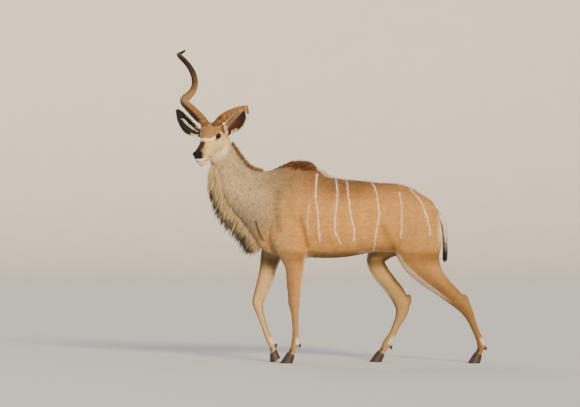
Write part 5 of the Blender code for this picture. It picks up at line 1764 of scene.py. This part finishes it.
def toe(name, inner_side):
    """One toe of a cloven hoof: a pointed half shell from the sole to the coronet."""
    coronet, slope, lift = FEET[name]
    slope, lift = math.radians(slope), math.radians(lift)
    level = np.array([-1.0, 0.0, 0.0])
    axis = np.array([math.sin(slope), 0.0, math.cos(slope)])
    top_fore = np.array([-math.cos(slope), 0.0, math.sin(slope)])
    if lift:
        level = top_fore = np.array([-math.cos(lift), 0.0, -math.sin(lift)])
        axis = np.array([-math.sin(lift), 0.0, math.cos(lift)])
    rings = []
    for share in np.linspace(0.0, 1.0, 14):
        long = HOOF_LONG + (CORONET_LONG - HOOF_LONG) * share ** 0.9
        wide = HOOF_WIDE + (CORONET_WIDE - HOOF_WIDE) * share
        if lift:
            middle = np.array(coronet) - (axis * 0.064 - level * 0.024) * (1 - share)
        else:
            reach = (coronet[2] * math.tan(slope) + 0.004) * (1 - share)
            middle = np.array([coronet[0] - reach, coronet[1], coronet[2] * share])
        fore = unit(level * (1 - share) + top_fore * share)
        ring = []
        for angle in np.linspace(0, FULL_TURN, 40, endpoint=False):
            ahead, across = math.cos(angle), math.sin(angle)
            narrow = 1 - 0.30 * max(0.0, ahead) ** 2
            gap = 0.0012 + 0.0030 * max(0.0, ahead) * (1 - share)
            sideways = wide * across * narrow
            if sideways * inner_side < gap:
                sideways = gap * inner_side
            ripple = 1 + 0.006 * math.sin(share * 42.0)
            place = middle + fore * long * ahead * ripple + np.array([0, sideways * ripple, 0])
            place[2] = max(place[2], 0.0)
            ring.append(place)
        rings.append(ring)
    return loft(f"toe_{name}", rings)


class KUDU_OT_hooves(bpy.types.Operator):
    """Four cloven hooves of two toes each, and the dewclaws above them"""
    bl_idname = "kudu.hooves"
    bl_label = "Hooves"

    def execute(self, context):
        finish = hoof_material()
        for name in FEET:
            toes = [toe(name, side) for side in BOTH_SIDES]
            x, y, z = DEWCLAWS[name]
            toes += [blob("dewclaw", (x + 0.004, y + side * 0.015, z - 0.004), (0.010, 0.0085, 0.014),
                          (1, 0, 0), (0.35, 0, 1)) for side in BOTH_SIDES]
            made = join(toes, name.replace("leg", "cloven_hoof"))
            made.data.materials.clear()
            made.data.materials.append(finish)
            bpy.ops.object.shade_smooth_by_angle(angle=math.radians(50))
            finish_piece(made, (name.replace("leg", "hoof"),))
        return {"FINISHED"}


class KUDU_OT_stage(bpy.types.Operator):
    """Pale floor and backdrop, soft studio lights and the camera at the photograph's angle"""
    bl_idname = "kudu.stage"
    bl_label = "Stage"

    def execute(self, context):
        stage = context.scene.kudu_stage
        flat, curve, count = 26.0, 6.0, 96
        sweep = [(0.5, 0.0), (8.0, 0.0), (flat, 0.0)]
        sweep += [(flat + curve * math.sin(a), curve - curve * math.cos(a))
                  for a in np.linspace(0.1, math.pi / 2, 16)]
        turns = np.linspace(0, FULL_TURN, count, endpoint=False)
        verts = [(r * math.cos(a), r * math.sin(a), z) for r, z in sweep for a in turns]
        faces = [(i + j, i + (j + 1) % count, i + count + (j + 1) % count, i + count + j)
                 for i in range(0, len(verts) - count, count) for j in range(count)]
        faces.append(tuple(range(count))[::-1])
        board = new_object("backdrop", verts, faces, studio_material(stage.floor))
        smooth(board)
        middle = Vector(PHOTO_MIDDLE)
        lamps = [
            # name, kind, place, strength, size in metres or degrees, colour
            ("key", "SUN", (2.5, -8.0, 4.3), 4.5, 12.0, "ffe4bd"),
            ("fill", "AREA", (-6.5, -6.5, 3.0), 120.0, 4.0, "fff6ea"),
            ("back", "SUN", (-4.0, 7.0, 6.0), 0.9, 30.0, "f4f6ff"),
        ]
        for name, kind, place, strength, size, colour in lamps:
            lamp = bpy.data.lights.new(name, kind)
            lamp.energy, lamp.color = strength, linear(colour)
            if kind == "SUN":
                lamp.angle = math.radians(size)
            else:
                lamp.size = size
            made = bpy.data.objects.new(name, lamp)
            made.location = place
            made.rotation_euler = (middle - Vector(place)).to_track_quat("-Z", "Y").to_euler()
            context.scene.collection.objects.link(made)
        world = bpy.data.worlds.new("studio")
        world.use_nodes = True
        plug(world.node_tree, world.node_tree.nodes["Background"],
             {"Color": (*linear("e9edf2"), 1.0), "Strength": 0.60})
        context.scene.world = world
        lens = bpy.data.cameras.new("camera")
        lens.lens = lens.sensor_width * stage.distance / (PHOTO_WIDE * stage.pixel)
        lens.clip_end = 100.0
        camera = bpy.data.objects.new("camera", lens)
        camera.location = (middle.x, -stage.distance, middle.z)
        camera.rotation_euler = (math.pi / 2, 0.0, 0.0)
        context.scene.collection.objects.link(camera)
        context.scene.camera = camera
        return {"FINISHED"}


PIECES = (KUDU_OT_stage, KUDU_OT_skin, KUDU_OT_coat, KUDU_OT_throat_fringe, KUDU_OT_back_mane,
          KUDU_OT_tail, KUDU_OT_ears, KUDU_OT_horns, KUDU_OT_eyes, KUDU_OT_hooves)
SETTINGS = {"kudu_skin": KuduSkin, "kudu_coat": KuduCoat, "kudu_horn": KuduHorn,
            "kudu_stage": KuduStage}


class KUDU_PT_panel(bpy.types.Panel):
    bl_idname = "KUDU_PT_panel"
    bl_label = "Greater kudu bull"
    bl_space_type = "VIEW_3D"
    bl_region_type = "UI"
    bl_category = "Kudu"

    def draw(self, context):
        for piece in PIECES:
            self.layout.operator(piece.bl_idname)
        for name, group in SETTINGS.items():
            box = self.layout.box()
            for key in group.__annotations__:
                box.prop(getattr(context.scene, name), key)


def register():
    for item in (*SETTINGS.values(), *PIECES, KUDU_PT_panel):
        bpy.utils.register_class(item)
    for name, group in SETTINGS.items():
        setattr(bpy.types.Scene, name, bpy.props.PointerProperty(type=group))


def unregister():
    for name in SETTINGS:
        delattr(bpy.types.Scene, name)
    for item in reversed((*SETTINGS.values(), *PIECES, KUDU_PT_panel)):
        bpy.utils.unregister_class(item)


def main():
    register()
    for piece in PIECES:
        group, name = piece.bl_idname.split(".")
        getattr(getattr(bpy.ops, group), name)()


if __name__ == "__main__":
    main()
